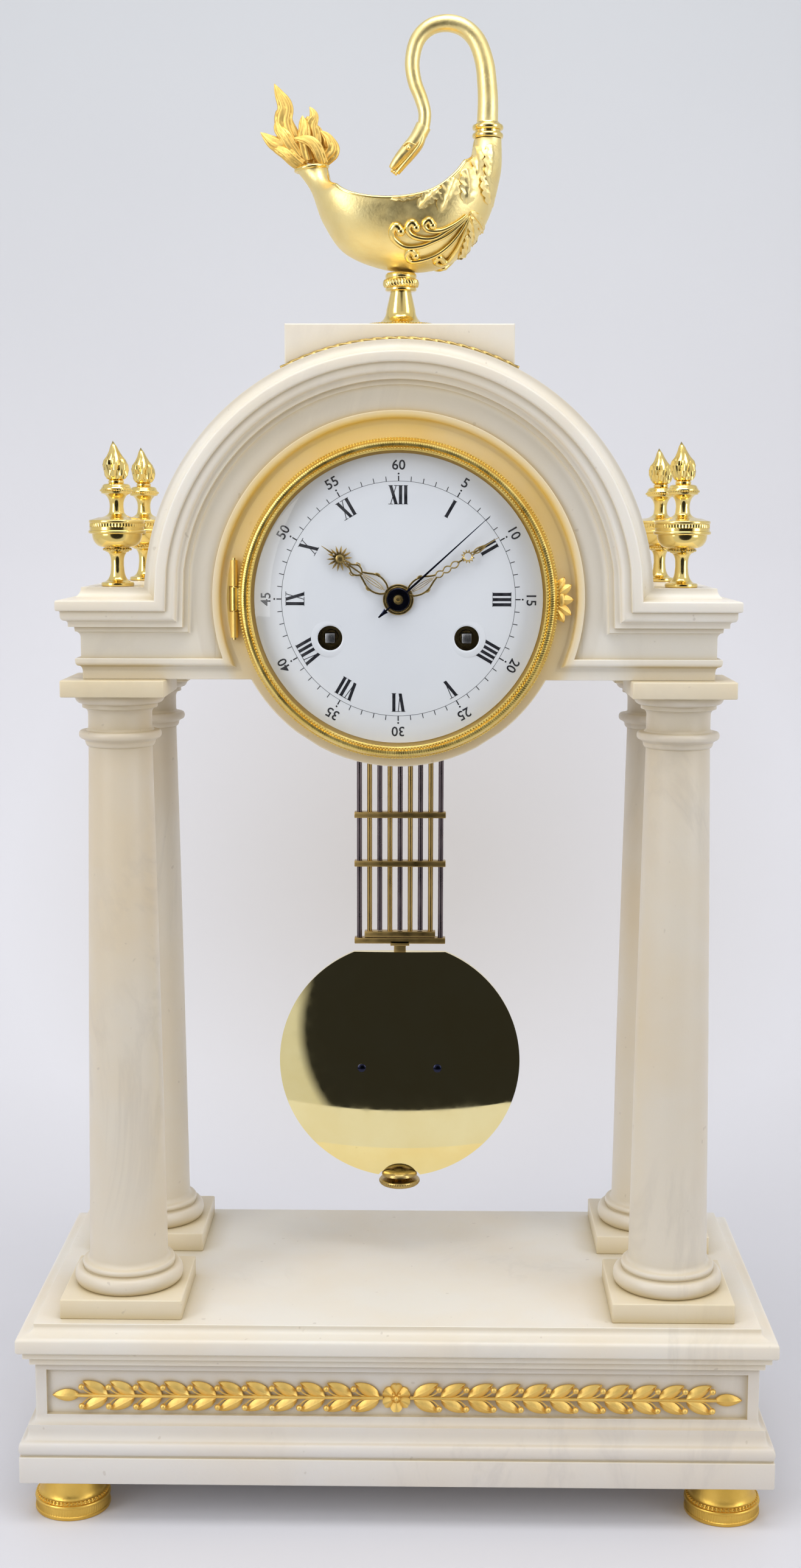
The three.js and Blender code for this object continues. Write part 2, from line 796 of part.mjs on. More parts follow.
// The curves of the lamp are drawn for a bowl 90.6 long and then brought to size.
const lampUnit = lampLength / 90.6;

function lampCurve(points) {
  return planPoints(points).map((point) => point.multiplyScalar(lampUnit));
}

// Where the keel and the rim run, seen from the front, from the spout to the neck.
const keel = new THREE.SplineCurve(lampCurve([
  [-46.5, 44.1], [-39, 36], [-33, 21.5], [-22.5, 8], [-1, 0.3], [20, 3.8], [36, 20], [43.3, 42], [44.1, 57.6],
]));
const rim = new THREE.SplineCurve(lampCurve([
  [-33, 46], [-29, 41], [-22, 36], [-11, 33.6], [3, 33.6], [15, 37.4], [24.5, 45], [30.4, 53], [32.6, 57.6],
]));
const lampStations = 13;
const lampSides = 12;

function lampRing(share, inset, lift) {
  const low = keel.getPoint(share);
  const high = rim.getPoint(share);
  const down = low.clone().sub(high);
  const depth = down.length();
  down.normalize();
  // The mouth is open amidships, and closes to a round tube at the spout and at the neck.
  const openness = Math.min(1, 2.6 * Math.sin(Math.PI * share) ** 1.5);
  const below = depth * (0.5 + 0.5 * openness) - inset;
  const above = lift > 0 ? lift : depth - depth * (0.5 + 0.5 * openness);
  const tube = depth / 2;
  const halfBreadth = tube + (lampHalfBreadth - tube) * openness * Math.sin(Math.PI * share) ** 0.6 - inset;
  const centre = high.clone().addScaledVector(down, depth - (below + inset));
  return circle(1, lampSides).map(([across, fall]) => {
    const reach = fall > 0 ? below * fall : above * fall;
    return new THREE.Vector3(centre.x + down.x * reach, halfBreadth * across, centre.y + down.y * reach);
  });
}

function lampBowl() {
  const shares = Array.from({ length: lampStations }, (_, i) => i / (lampStations - 1));
  const outside = solid(loft(shares.map((share) => lampRing(share, 0, 0))));
  const hollowShares = shares.filter((share) => share > 0.2 && share < 0.8);
  const hollow = solid(loft(hollowShares.map((share) => lampRing(share, lampWall, 6))));
  return surface(outside.subtract(hollow).translate([0, 0, lampSeat]));
}

function tube(curve, shape, sides, steps) {
  // A round tube along a curve in the XZ plane; shape gives half its width and half its breadth.
  const rings = Array.from({ length: steps + 1 }, (_, i) => {
    const share = i / steps;
    const centre = curve.getPoint(share);
    const along = curve.getTangent(share);
    const [width, breadth] = shape(share);
    return circle(1, sides).map(([out, back]) => new THREE.Vector3(
      centre.x + along.y * width * out, breadth * back, centre.y - along.x * width * out,
    ));
  });
  return loft(rings);
}

function swanHandle() {
  // A collar, the neck that rises and curls back over the lamp, and the head that looks down into it.
  const neckEnd = keel.getPoint(1).clone().add(rim.getPoint(1)).multiplyScalar(0.5);
  const rise = neckEnd.y + seatGap;
  const collar = upright([
    [0, 0], [collarRadius - 0.7, 0], [collarRadius, 0.9], [collarRadius, 2.2], [collarRadius - 1, 3.2],
    [collarRadius, 4.3], [collarRadius, 5.9], [collarRadius - 0.8, collarHeight], [0, collarHeight],
  ], 12).translate(neckEnd.x, 0, rise);
  const neck = new THREE.SplineCurve([
    new THREE.Vector2(neckEnd.x - 0.3, rise + collarHeight - 1),
    ...lampCurve([
      [37.7, 76], [36.6, 85.4], [33.9, 95.5], [28.4, 104], [19.8, 107.7], [11.2, 104.6],
      [5.6, 96.5], [4.6, 86], [7.4, 75.6], [9.8, 67], [8.4, 60.6],
    ]),
  ]);
  const swell = (share) => {
    const waist = 0.75 * Math.sin(Math.PI * Math.min(1, share * 2.2)) ** 2;
    const radius = neckRadius * (1 - 0.42 * share ** 2) - waist;
    return [radius, radius];
  };
  const head = new THREE.SplineCurve(lampCurve([
    [9, 63.5], [6.6, 58], [2.6, 52.8], [-1.6, 47.6], [-5.4, 43.4],
  ]));
  const skull = (share) => [
    2.4 + 2.1 * Math.sin(Math.PI * share ** 0.8) ** 0.8,
    1.2 + 2.6 * Math.sin(Math.PI * (0.25 + 0.65 * share)),
  ];
  const parts = [collar, tube(neck, swell, 8, 18), tube(head, skull, 8, 5)];
  return surface(join(parts).translate([0, 0, lampSeat]));
}

function flameTongue(root, points, radius) {
  const path = new THREE.SplineCurve(lampCurve(points).map((point) => point.add(root)));
  const shape = (share) => {
    const width = Math.max(0.35, radius * Math.cos((Math.PI / 2) * share ** 1.4));
    return [width, width * 0.75];
  };
  return tube(path, shape, 6, 4);
}

function lampFlame() {
  // Flames that stand on the spout and stream away from it.
  const [low, high] = [keel.getPoint(0), rim.getPoint(0)];
  const root = low.clone().add(high).multiplyScalar(0.5).add(new THREE.Vector2(0, seatGap));
  const radius = high.distanceTo(low) / 2 - 0.5;
  const tilt = Math.atan2(high.y - low.y, high.x - low.x);
  const bulb = upright([[0, 0], [radius, 0], [radius + 1.6, 4], [radius, 9], [0, 12]], 10).rotateY(-tilt);
  const tongues = [
    flameTongue(root, [[-1, 5], [-6, 14], [-11.5, 24], [-13.4, 31], [-16.2, 37.2]], 5),
    flameTongue(root, [[0, 4], [-9, 8.5], [-17, 11.5], [-23.4, 16]], 4.4),
    flameTongue(root, [[1, 5], [1.5, 15], [-1.5, 22], [-0.2, 27.2]], 4.2),
    flameTongue(root, [[1, 4.4], [6, 5.6], [9, 6.4], [11.2, 7.4]], 3),
  ];
  const body = join([bulb.translate(root.x, 0, root.y), ...tongues]);
  return surface(body.translate([0, 0, lampSeat]));
}

function buildLamp() {
  const lamp = new THREE.Group();
  place(lamp, 'lamp_foot', lampFoot(), brightGilt, 0, 0, crownTop);
  place(lamp, 'lamp_bowl', lampBowl(), matteGilt, 0, 0, seatGap);
  place(lamp, 'swan_handle', swanHandle(), matteGilt, 0, 0, seatGap);
  place(lamp, 'lamp_flame', lampFlame(), matteGilt, 0, 0, seatGap);
  return lamp;
}

// Dial, bezel and hands, drawn about the dial's centre with the face of the head at y = 0

const hingeX = -(bezelRadius + hingeRadius + seatGap);
const hingeY = -hingeRadius - 0.5;
const knuckleHalf = hingeHalfHeight / 3;
const movingKnuckleHalf = knuckleHalf - runningGap;

function bezel() {
  const seat = -seatGap;
  const rebateRadius = glassRadius + seatGap;
  const profile = [
    [bezelRadius, seat], [bezelRadius, -4.6], [bezelRadius - 0.9, -7], [bezelRadius - 2.8, -bezelFront],
    [sightRadius, -bezelFront + 0.7], [sightRadius, -glassSeatDepth], [rebateRadius, -glassSeatDepth],
    [rebateRadius, seat],
  ];
  const ring = solid(turnedAlongY([...profile, profile[0]], 36));
  const knuckle = rodAlongZ(hingeX, hingeY, hingeRadius, -movingKnuckleHalf, movingKnuckleHalf, 12);
  const lug = block(hingeX, -bezelRadius + 2, hingeY - 0.9, hingeY + 0.9, -knuckleHalf + 1, knuckleHalf - 1);
  const pinBore = rodAlongZ(hingeX, hingeY, hingePinRadius + runningGap, -wide, wide, 10);
  const rebate = rodAlongY(0, 0, rebateRadius, -glassSeatDepth, 0, 36);
  return surface(cut(ring.add(join([knuckle, lug])), [pinBore, rebate]));
}

function bezelGlass() {
  const edgeFront = -glassSeatDepth + seatGap;
  const edgeBack = edgeFront + glassThickness;
  const domeEdge = sightRadius - 0.6;
  const dome = (edge, from) => [1, 0.7, 0.35, 0].map((share) => {
    return [share * edge, from - glassRise * (1 - share ** 2)];
  });
  const outer = dome(domeEdge, edgeFront);
  const inner = dome(domeEdge - glassThickness, edgeBack).reverse();
  const profile = [...inner, [glassRadius, edgeBack], [glassRadius, edgeFront], ...outer];
  return closed(turnedAlongY(profile, 36));
}

function bezelHingeLeaf() {
  // The fixed half of the hinge: a strip on the marble with a knuckle at each end.
  const half = hingeHalfHeight;
  const strip = block(-beadInnerRadius, hingeX + 1, -hingeLeafThickness, 0, -half, half);
  const withinBead = solid(rodAlongY(0, 0, beadInnerRadius - 2 * seatGap, -wide, wide, 48));
  const knuckles = [-1, 1].map((end) => {
    const ends = [end * knuckleHalf, end * hingeHalfHeight].sort((a, b) => a - b);
    return rodAlongZ(hingeX, hingeY, hingeRadius, ...ends, 12);
  });
  const bore = rodAlongZ(hingeX, hingeY, hingePinRadius + runningGap, -wide, wide, 10);
  const room = block(hingeX - hingeRadius - 0.6, wide, -wide, wide, -knuckleHalf, knuckleHalf);
  return surface(cut(solid(strip).intersect(withinBead).add(join(knuckles)), [bore, room]));
}

function hingePin() {
  const height = hingeHalfHeight + 1;
  return closed(rodAlongZ(hingeX, hingeY, hingePinRadius, -height, height, 8));
}

function thumbCatch() {
  // A small palmette that stands out beside the bezel, for the thumb.
  const inner = bezelRadius + seatGap;
  const reach = Math.asin(catchHalfHeight / inner);
  const turns = [-1, -0.5, 0, 0.5, 1].map((share) => share * reach);
  const arc = turns.map((turn) => [inner * Math.cos(turn), inner * Math.sin(turn)]);
  const outer = bezelRadius + catchReach;
  const lobes = [
    [outer - 3, catchHalfHeight - 1], [outer - 1.4, 5.6], [outer - 0.6, 2.4], [outer, 0],
    [outer - 0.6, -2.4], [outer - 1.4, -5.6], [outer - 3, -catchHalfHeight + 1],
  ];
  return closed(frontal([...arc, ...lobes], -5.6, -2.8));
}

const dialEdgeBack = -seatGap;

function dialFaceY(radius) {
  return dialEdgeBack - dialThickness - dialRise * (1 - (radius / dialRadius) ** 2);
}

function dial() {
  const shares = [0, 0.55, 1];
  const front = shares.map((share) => [share * dialRadius, dialFaceY(share * dialRadius)]);
  const back = [...front].reverse().map(([radius, y]) => [radius, y + dialThickness]);
  const plate = solid(turnedAlongY([...front, ...back], 36));
  const footEnd = frontPlateBack - plateThickness - seatGap;
  const feet = [90, 210, 330].map((degrees) => {
    const turn = (degrees * Math.PI) / 180;
    const radius = boreRadius - 7;
    return rodAlongY(radius * Math.cos(turn), radius * Math.sin(turn), 1.2, -1.2, footEnd, 6);
  });
  const holes = [
    rodAlongY(0, 0, 4.2, -wide, 0, 12),
    rodAlongY(-windingX, -windingDrop, windingHoleRadius, -wide, 0, 12),
    rodAlongY(windingX, -windingDrop, windingHoleRadius, -wide, 0, 12),
  ];
  return surface(cut(plate.add(join(feet)), holes));
}

const hourPipeRadius = 3.4;
const minutePipeRadius = 2.2;
const pipeWall = 0.9;
const hourHandY = dialFaceY(0) - 1;
const minuteHandY = hourHandY - handSpacing;
const secondsHandY = minuteHandY - handSpacing;
const pipeEnd = frontPlateBack - plateThickness - seatGap;

function handBlade(length, y, hubRadius, rosetteAt, rosetteSize, halfWidth) {
  // A pierced blade along +Z: two open loops, a small rosette and a pointed tip.
  const loopEnd = rosetteAt - rosetteSize * 0.6;
  const middle = (hubRadius + loopEnd) / 2;
  const [innerLoop, outerLoop] = [(hubRadius + middle) / 2, (middle + loopEnd) / 2];
  const rightEdge = [
    [1.4, 0], [halfWidth, innerLoop], [1, middle], [halfWidth * 0.8, outerLoop],
    [0.9, loopEnd], [0.9, rosetteAt + rosetteSize], [0.3, length],
  ];
  const leftEdge = [...rightEdge].reverse().map(([x, z]) => [-x, z]);
  const outline = [...rightEdge, ...leftEdge];
  const eye = (z, half, tall) => [[0, z - tall], [half, z], [0, z + tall], [-half, z]];
  const holes = [
    eye(innerLoop + 0.8, halfWidth - 1, (middle - hubRadius) / 2 - 1.6),
    eye(outerLoop, halfWidth * 0.8 - 1, (loopEnd - middle) / 2 - 1.2),
  ];
  const rosetteOutline = Array.from({ length: 16 }, (_, i) => {
    const turn = (2 * Math.PI * i) / 16;
    const radius = rosetteSize * (i % 2 === 0 ? 0.75 : 1);
    return [radius * Math.sin(turn), rosetteAt + radius * Math.cos(turn)];
  });
  return [
    frontal(outline, y - handThickness, y, holes),
    frontal(rosetteOutline, y - handThickness - 0.1, y),
  ];
}

function hubAndPipe(hubRadius, pipeRadius, y) {
  const hub = rodAlongY(0, 0, hubRadius, y - handThickness, y, 16);
  const pipe = rodAlongY(0, 0, pipeRadius, y - handThickness, pipeEnd, 12);
  const bore = rodAlongY(0, 0, pipeRadius - pipeWall, -wide, wide, 12);
  return { hub, pipe, bore };
}

function turnedHand(body, degrees) {
  return surface(body.rotate([0, degrees, 0]));
}

function hourHand() {
  const hubRadius = 6.6;
  const { hub, pipe, bore } = hubAndPipe(hubRadius, hourPipeRadius, hourHandY);
  const blade = handBlade(hourHandLength, hourHandY, hubRadius, hourHandLength - 9.4, 4.6, 3.4);
  return turnedHand(cut(join([hub, pipe, ...blade]), [bore]), hourHandAngle);
}

function minuteHand() {
  const hubRadius = 5.6;
  const { hub, pipe, bore } = hubAndPipe(hubRadius, minutePipeRadius, minuteHandY);
  const blade = handBlade(minuteHandLength, minuteHandY, hubRadius, minuteHandLength - 15.6, 2.6, 3.2);
  return turnedHand(cut(join([hub, pipe, ...blade]), [bore]), minuteHandAngle);
}

function secondsHand() {
  const [front, back] = [secondsHandY - handThickness, secondsHandY];
  const pointFrom = secondsHandLength - 1;
  const needle = frontal([
    [-0.35, 0], [-0.35, pointFrom], [0, secondsHandLength], [0.35, pointFrom], [0.35, 0],
    [0.5, -4.8], [1.7, -7], [0, -secondsTail], [-1.7, -7], [-0.5, -4.8],
  ], front, back);
  const hub = turnedAlongY([
    [0, front - 1.6], [2.2, front - 1.6], [2.2, front - 0.4], [4.9, front - 0.4], [4.9, back], [0, back],
  ], 18);
  const socket = rodAlongY(0, 0, secondsArborRadius + seatGap, front - 0.9, wide, 10);
  return turnedHand(cut(join([needle, hub]), [socket]), secondsHandAngle);
}

function buildDial() {
  const face = new THREE.Group();
  place(face, 'bezel', bezel(), matteGilt);
  place(face, 'bezel_glass', bezelGlass(), clearGlass);
  place(face, 'bezel_hinge_leaf', bezelHingeLeaf(), matteGilt);
  place(face, 'bezel_hinge_pin', hingePin(), brass);
  place(face, 'thumb_catch', thumbCatch(), matteGilt);
  place(face, 'dial', dial(), enamel);
  place(face, 'hour_hand', hourHand(), matteGilt);
  place(face, 'minute_hand', minuteHand(), matteGilt);
  place(face, 'seconds_hand', secondsHand(), steel);
  return face;
}

// Movement, drawn about the dial's centre, measured back from the face of the head

const onBackPlate = ([x, z]) => [x * backPlateRadius, z * backPlateRadius];
const [hammerX, hammerZ] = onBackPlate([0.8, 0.3091]);
const hammerArborRadius = 1.3;
const pillars = [[-0.69, 0.62], [0.69, 0.62], [0, -0.91]].map(onBackPlate);
const [bellStandX] = onBackPlate([-0.91, 0]);
const pivotRadius = 1.5;
const arborEnd = backPlateBack - 0.2;

function frontPlate() {
  const plate = solid(rodAlongY(0, 0, boreRadius - seatGap, frontPlateFrom, frontPlateBack, 32));
  const holes = [
    rodAlongY(0, 0, secondsArborRadius + runningGap, -wide, wide, 10),
    rodAlongY(0, palletArborRise, palletArborRadius + runningGap, -wide, wide, 10),
    rodAlongY(-windingX, -windingDrop, windingArborRadius + runningGap, -wide, wide, 12),
    rodAlongY(windingX, -windingDrop, windingArborRadius + runningGap, -wide, wide, 12),
  ];
  return surface(cut(plate, holes));
}

function backPlate() {
  // The rear plate with its three pillars, whose shoulders bear on the front plate.
  const plate = rodAlongY(0, 0, backPlateRadius, backPlateFrom, backPlateBack, 28);
  const posts = pillars.map(([x, z]) => rodAlongY(x, z, pillarRadius, frontPlateBack, backPlateFrom + 1, 8));
  const holes = [
    rodAlongY(0, 0, secondsArborRadius + runningGap, -wide, wide, 10),
    rodAlongY(0, palletArborRise, palletArborRadius + 2, -wide, wide, 10),
    rodAlongY(-windingX, -windingDrop, pivotRadius + runningGap, backPlateFrom - 1, wide, 10),
    rodAlongY(windingX, -windingDrop, pivotRadius + runningGap, backPlateFrom - 1, wide, 10),
    rodAlongY(hammerX, hammerZ, hammerArborRadius + runningGap, -wide, wide, 10),
  ];
  return surface(cut(join([plate, ...posts]), holes));
}

function toothedWheel(teeth, tipRadius, toothDepth, yFrom, yTo) {
  const outline = Array.from({ length: teeth * 2 }, (_, i) => {
    const turn = (Math.PI * i) / teeth;
    const radius = i % 2 === 0 ? tipRadius : tipRadius - toothDepth;
    return [radius * Math.cos(turn), radius * Math.sin(turn)];
  });
  return frontal(outline, yFrom, yTo);
}

function springBarrel(side) {
  // Drum, great wheel and winding arbor, whose square end stands behind the hole in the dial.
  const drum = rodAlongY(0, 0, barrelRadius, barrelFrom, greatWheelFrom, 20);
  const [wheelFrom, wheelTo] = [greatWheelFrom - 0.5, greatWheelFrom + 2];
  const wheel = toothedWheel(greatWheelTeeth, greatWheelRadius, 1.8, wheelFrom, wheelTo);
  const arbor = rodAlongY(0, 0, windingArborRadius, frontPlateFrom - 1, backPlateFrom - 0.5, 12);
  const pivot = rodAlongY(0, 0, pivotRadius, backPlateFrom - 1, arborEnd, 8);
  const half = windingSquare / 2;
  const square = block(-half, half, dialFaceY(windingX) - 0.3, frontPlateFrom, -half, half);
  return surface(join([drum, wheel, arbor, pivot, square]).translate([side * windingX, 0, -windingDrop]));
}

function escapeWheel() {
  // A wheel of one tooth a second, on the long arbor that carries the seconds hand.
  const wheel = solid(toothedWheel(escapeTeeth, escapeRadius, 1.7, escapeBack - 1.4, escapeBack));
  const crossing = (quarter) => {
    const [from, to] = [0.2, Math.PI / 2 - 0.2].map((turn) => turn + (quarter * Math.PI) / 2);
    const turns = [from, (from + to) / 2, to];
    const onCircle = (radius) => (turn) => [radius * Math.cos(turn), radius * Math.sin(turn)];
    const outer = turns.map(onCircle(escapeRadius - 3.8));
    const inner = [to, from].map(onCircle(3.6));
    return frontal([...outer, ...inner], -wide, wide);
  };
  const arbor = rodAlongY(0, 0, secondsArborRadius, secondsHandY - handThickness - 0.6, arborEnd, 8);
  return surface(cut(wheel, [0, 1, 2, 3].map(crossing)).add(solid(arbor)));
}

function palletAnchor() {
  // The anchor's two tips keep just outside the teeth at every angle of its swing.
  const tipRadius = escapeRadius + palletSwing + runningGap;
  const spread = Math.acos(escapeRadius / palletArborRise);
  const [tipX, tipZ] = [tipRadius * Math.sin(spread), tipRadius * Math.cos(spread)];
  const right = [
    [0, palletArborRise + 3.4], [9, palletArborRise + 0.6], [tipX + 3.4, tipZ + 3], [tipX + 4, tipZ - 0.6],
    [tipX, tipZ], [tipX - 0.6, tipZ + 4.4], [6.6, palletArborRise - 3.2], [0, palletArborRise - 2.6],
  ];
  const left = right.slice(1, -1).reverse().map(([x, z]) => [-x, z]);
  const anchor = frontal([...right, ...left], escapeBack - 1.6, escapeBack + 0.2);
  const [from, to] = [frontPlateFrom + 0.4, cockFrom + cockThickness - 0.4];
  const arbor = rodAlongY(0, palletArborRise, palletArborRadius, from, to, 8);
  return surface(join([anchor, arbor]));
}

function crutch() {
  // Hangs from the pallet arbor behind the rear plate, and holds the pendulum rod in its fork.
  const [from, to] = [crutchFrom, crutchFrom + crutchThickness];
  const forkGap = rodRadius + runningGap + 0.05;
  const collet = rodAlongY(0, palletArborRise, 3.2, from, to, 14);
  const arm = block(-1, 1, from, to, crutchRise, palletArborRise - 2);
  const foot = block(-forkGap - 1.2, forkGap + 1.2, from, to, crutchRise - 1.5, crutchRise + 1.5);
  const prongs = [-1, 1].map((side) => {
    const ends = [side * forkGap, side * (forkGap + 1.2)].sort((a, b) => a - b);
    return block(...ends, from, pendulumBack + 3, crutchRise - 1.5, crutchRise + 1.5);
  });
  const bore = rodAlongY(0, palletArborRise, palletArborRadius + seatGap, -wide, wide, 10);
  return surface(cut(join([collet, arm, foot, ...prongs]), [bore]));
}

function backCock() {
  // A bridge over the crutch. It carries the rear pivot of the pallet arbor and the suspension.
  const [from, to] = [cockFrom, cockFrom + cockThickness];
  const bridge = block(-16, 16, from, to, palletArborRise - 5, suspensionRise + 5);
  const legs = [-1, 1].map((side) => {
    const ends = [side * 12, side * 16].sort((a, b) => a - b);
    return block(...ends, backPlateBack, from + 0.5, palletArborRise - 4, palletArborRise + 8);
  });
  const nose = block(-4, 4, to - 0.5, pendulumBack + 3.5, suspensionRise - 2, suspensionRise + 5);
  const slit = block(-0.6, 0.6, to + 0.2, wide, suspensionRise - 3, suspensionRise + 2.6);
  const pivotHole = rodAlongY(0, palletArborRise, palletArborRadius + runningGap, -wide, wide, 10);
  return surface(cut(join([bridge, ...legs, nose]), [slit, pivotHole]));
}

function bell() {
  // A shallow cup that opens towards the movement.
  const shares = [0, 0.35, 0.7, 1];
  const dome = (radius, depth, y) => shares.map((share) => {
    const turn = (share * Math.PI) / 2;
    return [radius * Math.sin(turn), y - depth * (1 - Math.cos(turn))];
  });
  const outer = dome(bellRadius, bellDepth, bellBack + bellDepth);
  const inner = dome(bellRadius - bellWall, bellDepth - bellWall, bellBack + bellDepth - bellWall).reverse();
  return closed(turnedAlongY([...outer, ...inner], 24));
}

function bellStand() {
  // A post on the rear plate and an arm that reaches behind the crown of the bell.
  const armFrom = bellBack + bellDepth + seatGap;
  const post = rodAlongY(bellStandX, 0, 2.5, backPlateBack, armFrom + 3, 10);
  const arm = block(bellStandX, 4, armFrom, armFrom + 3, -2.2, 2.2);
  return surface(join([post, arm]));
}

function hammer() {
  // Its head rests just clear of the rim of the bell.
  const headRadius = 3.5;
  const reach = bellRadius + 0.8 + headRadius;
  const turn = -Math.PI / 6;
  const [headX, headZ] = [reach * Math.cos(turn), reach * Math.sin(turn)];
  const length = Math.hypot(hammerX - headX, hammerZ - headZ);
  const from = bellBack + 5;
  const arm = block(-1, 1, from, from + 2.4, -length, 0);
  const angle = Math.atan2(hammerX - headX, hammerZ - headZ);
  arm.rotateY(angle).translate(hammerX, 0, hammerZ);
  const arbor = rodAlongY(hammerX, hammerZ, hammerArborRadius, backPlateFrom + 0.2, from + 3, 8);
  const head = rodAlongY(headX, headZ, headRadius, from - 2.5, from + 5, 12);
  return surface(join([arbor, arm, head]));
}

function buildMovement() {
  const movement = new THREE.Group();
  place(movement, 'front_plate', frontPlate(), brass);
  place(movement, 'back_plate', backPlate(), brass);
  place(movement, 'going_barrel', springBarrel(-1), brass);
  place(movement, 'strike_barrel', springBarrel(1), brass);
  place(movement, 'escape_wheel', escapeWheel(), brass);
  place(movement, 'pallet_anchor', palletAnchor(), steel);
  place(movement, 'crutch', crutch(), steel);
  place(movement, 'back_cock', backCock(), brass);
  place(movement, 'bell', bell(), bellMetal);
  place(movement, 'bell_stand', bellStand(), steel);
  place(movement, 'hammer', hammer(), steel);
  return movement;
}

// Rear door, drawn about the dial's centre with the back of the head at y = 0

const doorRadius = boreRadius + 5;
const doorHingeX = -(doorRadius + hingeRadius + seatGap);
const doorHingeY = hingeRadius + 0.5;

function rearDoor() {
  const profile = [
    [0, seatGap + 1.4], [boreRadius - 3, seatGap + 1.4], [boreRadius - 3, seatGap], [doorRadius, seatGap],
    [doorRadius, 2.4], [doorRadius - 1.6, 4.2], [boreRadius - 1, 4.2], [boreRadius - 3, 2.9], [0, 2.9],
  ];
  const disc = turnedAlongY(profile, 24);
  const knuckle = rodAlongZ(doorHingeX, doorHingeY, hingeRadius, -movingKnuckleHalf, movingKnuckleHalf, 12);
  const lugHalf = knuckleHalf - 1;
  const lug = block(doorHingeX, -doorRadius + 2, doorHingeY - 0.9, doorHingeY + 0.9, -lugHalf, lugHalf);
  const pinBore = rodAlongZ(doorHingeX, doorHingeY, hingePinRadius + runningGap, -wide, wide, 10);
  return surface(cut(join([disc, knuckle, lug]), [pinBore]));
}

function rearHinge() {
  // The fixed leaf of the rear hinge with its pin riveted in.
  const reach = doorHingeX - hingeRadius - 1.4;
  const strip = block(reach, doorHingeX + 1, 0, hingeLeafThickness, -hingeHalfHeight, hingeHalfHeight);
  const knuckles = [-1, 1].map((end) => {
    const ends = [end * knuckleHalf, end * hingeHalfHeight].sort((a, b) => a - b);
    return rodAlongZ(doorHingeX, doorHingeY, hingeRadius, ...ends, 12);
  });
  const room = block(doorHingeX - hingeRadius - 0.6, wide, -wide, wide, -knuckleHalf, knuckleHalf);
  const pin = rodAlongZ(doorHingeX, doorHingeY, hingePinRadius, -hingeHalfHeight - 1, hingeHalfHeight + 1, 8);
  return surface(cut(join([strip, ...knuckles]), [room]).add(solid(pin)));
}

// Pendulum, drawn about the point on which it swings

const outerRod = 4;
const steelRods = [-outerRod, -2, 0, 2, outerRod];
const brassRods = [-3, -1, 1, 3];

function crossBar(halfWidth, drop) {
  const half = barHeight / 2;
  return block(-halfWidth, halfWidth, -barHalfDepth, barHalfDepth, -drop - half, -drop + half);
}

function gridironSteel() {
  // Five steel rods hung from the top bar. The outer two carry the lower foot bar and the bob's rod.
  const half = barHeight / 2;
  const rods = steelRods.map((place) => {
    const outer = Math.abs(place) === outerRod;
    const end = outer ? -lowerFootDrop : -upperFootDrop + half + seatGap;
    return rodAlongZ(place * rodSpacing, 0, rodRadius, end, -topBarDrop);
  });
  const hook = block(-3, 3, -2, 2, -hookTopDrop - hookHeight, -hookTopDrop);
  const hanger = rodAlongZ(0, 0, rodRadius, -topBarDrop, -hookTopDrop - hookHeight / 2);
  const footBar = crossBar(barHalfWidth, lowerFootDrop);
  const collar = block(-4.5, 4.5, -barHalfDepth, barHalfDepth, -lowerFootDrop - half - 1, -lowerFootDrop);
  const neckEnd = -bobDrop + bobFlatRise + seatGap;
  const neck = block(-2.8, 2.8, -1.8, 1.8, neckEnd, -lowerFootDrop);
  const bobRod = rodAlongZ(0, 0, rodRadius, -nutDrop + 2.6, -lowerFootDrop);
  const topBar = crossBar(barHalfWidth, topBarDrop);
  return surface(join([topBar, footBar, collar, neck, hook, hanger, bobRod, ...rods]));
}

function gridironBrass() {
  // Four brass rods on the upper foot bar, with the two guide bars through which the steel rods slide.
  const half = barHeight / 2;
  const top = -topBarDrop - half - seatGap;
  const rods = brassRods.map((place) => rodAlongZ(place * rodSpacing, 0, rodRadius, -upperFootDrop, top));
  const bars = guideBarDrops.map((drop) => crossBar(barHalfWidth, drop));
  const slides = steelRods.map((place) => {
    return rodAlongZ(place * rodSpacing, 0, rodRadius + seatGap, -upperFootDrop + half, 0);
  });
  return surface(cut(join([crossBar(upperFootHalfWidth, upperFootDrop), ...bars, ...rods]), slides));
}

function nutDome(allowance) {
  // The rounded upper half of the rating nut, or the room for it in the edge of the bob.
  const [foot, crown] = [nutHeight * 0.58, nutHeight];
  const edge = nutDomeRadius + allowance;
  return [
    [edge, foot], [edge - 0.5, foot + 1.6], [edge - 2.3, foot + 3.4],
    [nutDomeRadius * 0.45 + allowance, crown - 0.3 + allowance],
  ];
}

function pendulumBob() {
  // A brass lens, cut off flat at the top and hollowed at the foot for the rating nut.
  const shares = [0, 0.35, 0.7, 1];
  const half = (share) => bobHalfEdge + (bobHalfThickness - bobHalfEdge) * (1 - share ** 2);
  const front = shares.map((share) => [share * bobRadius, -half(share)]);
  const back = [...front].reverse().map(([radius, y]) => [radius, -y]);
  const lens = solid(turnedAlongY([...front, ...back], 36).translate(0, 0, -bobDrop));
  const flat = block(-wide, wide, -wide, wide, -bobDrop + bobFlatRise, wide);
  const allowance = 0.4;
  const room = nutDome(allowance);
  const roomProfile = [[0, 0], [room[0][0], 0], ...room, [0, nutHeight + allowance]];
  const nutRoom = upright(roomProfile, 16).translate(0, 0, -nutDrop);
  const bore = rodAlongZ(0, 0, rodRadius + seatGap, -nutDrop, 0);
  return surface(cut(lens, [flat, nutRoom, bore]));
}

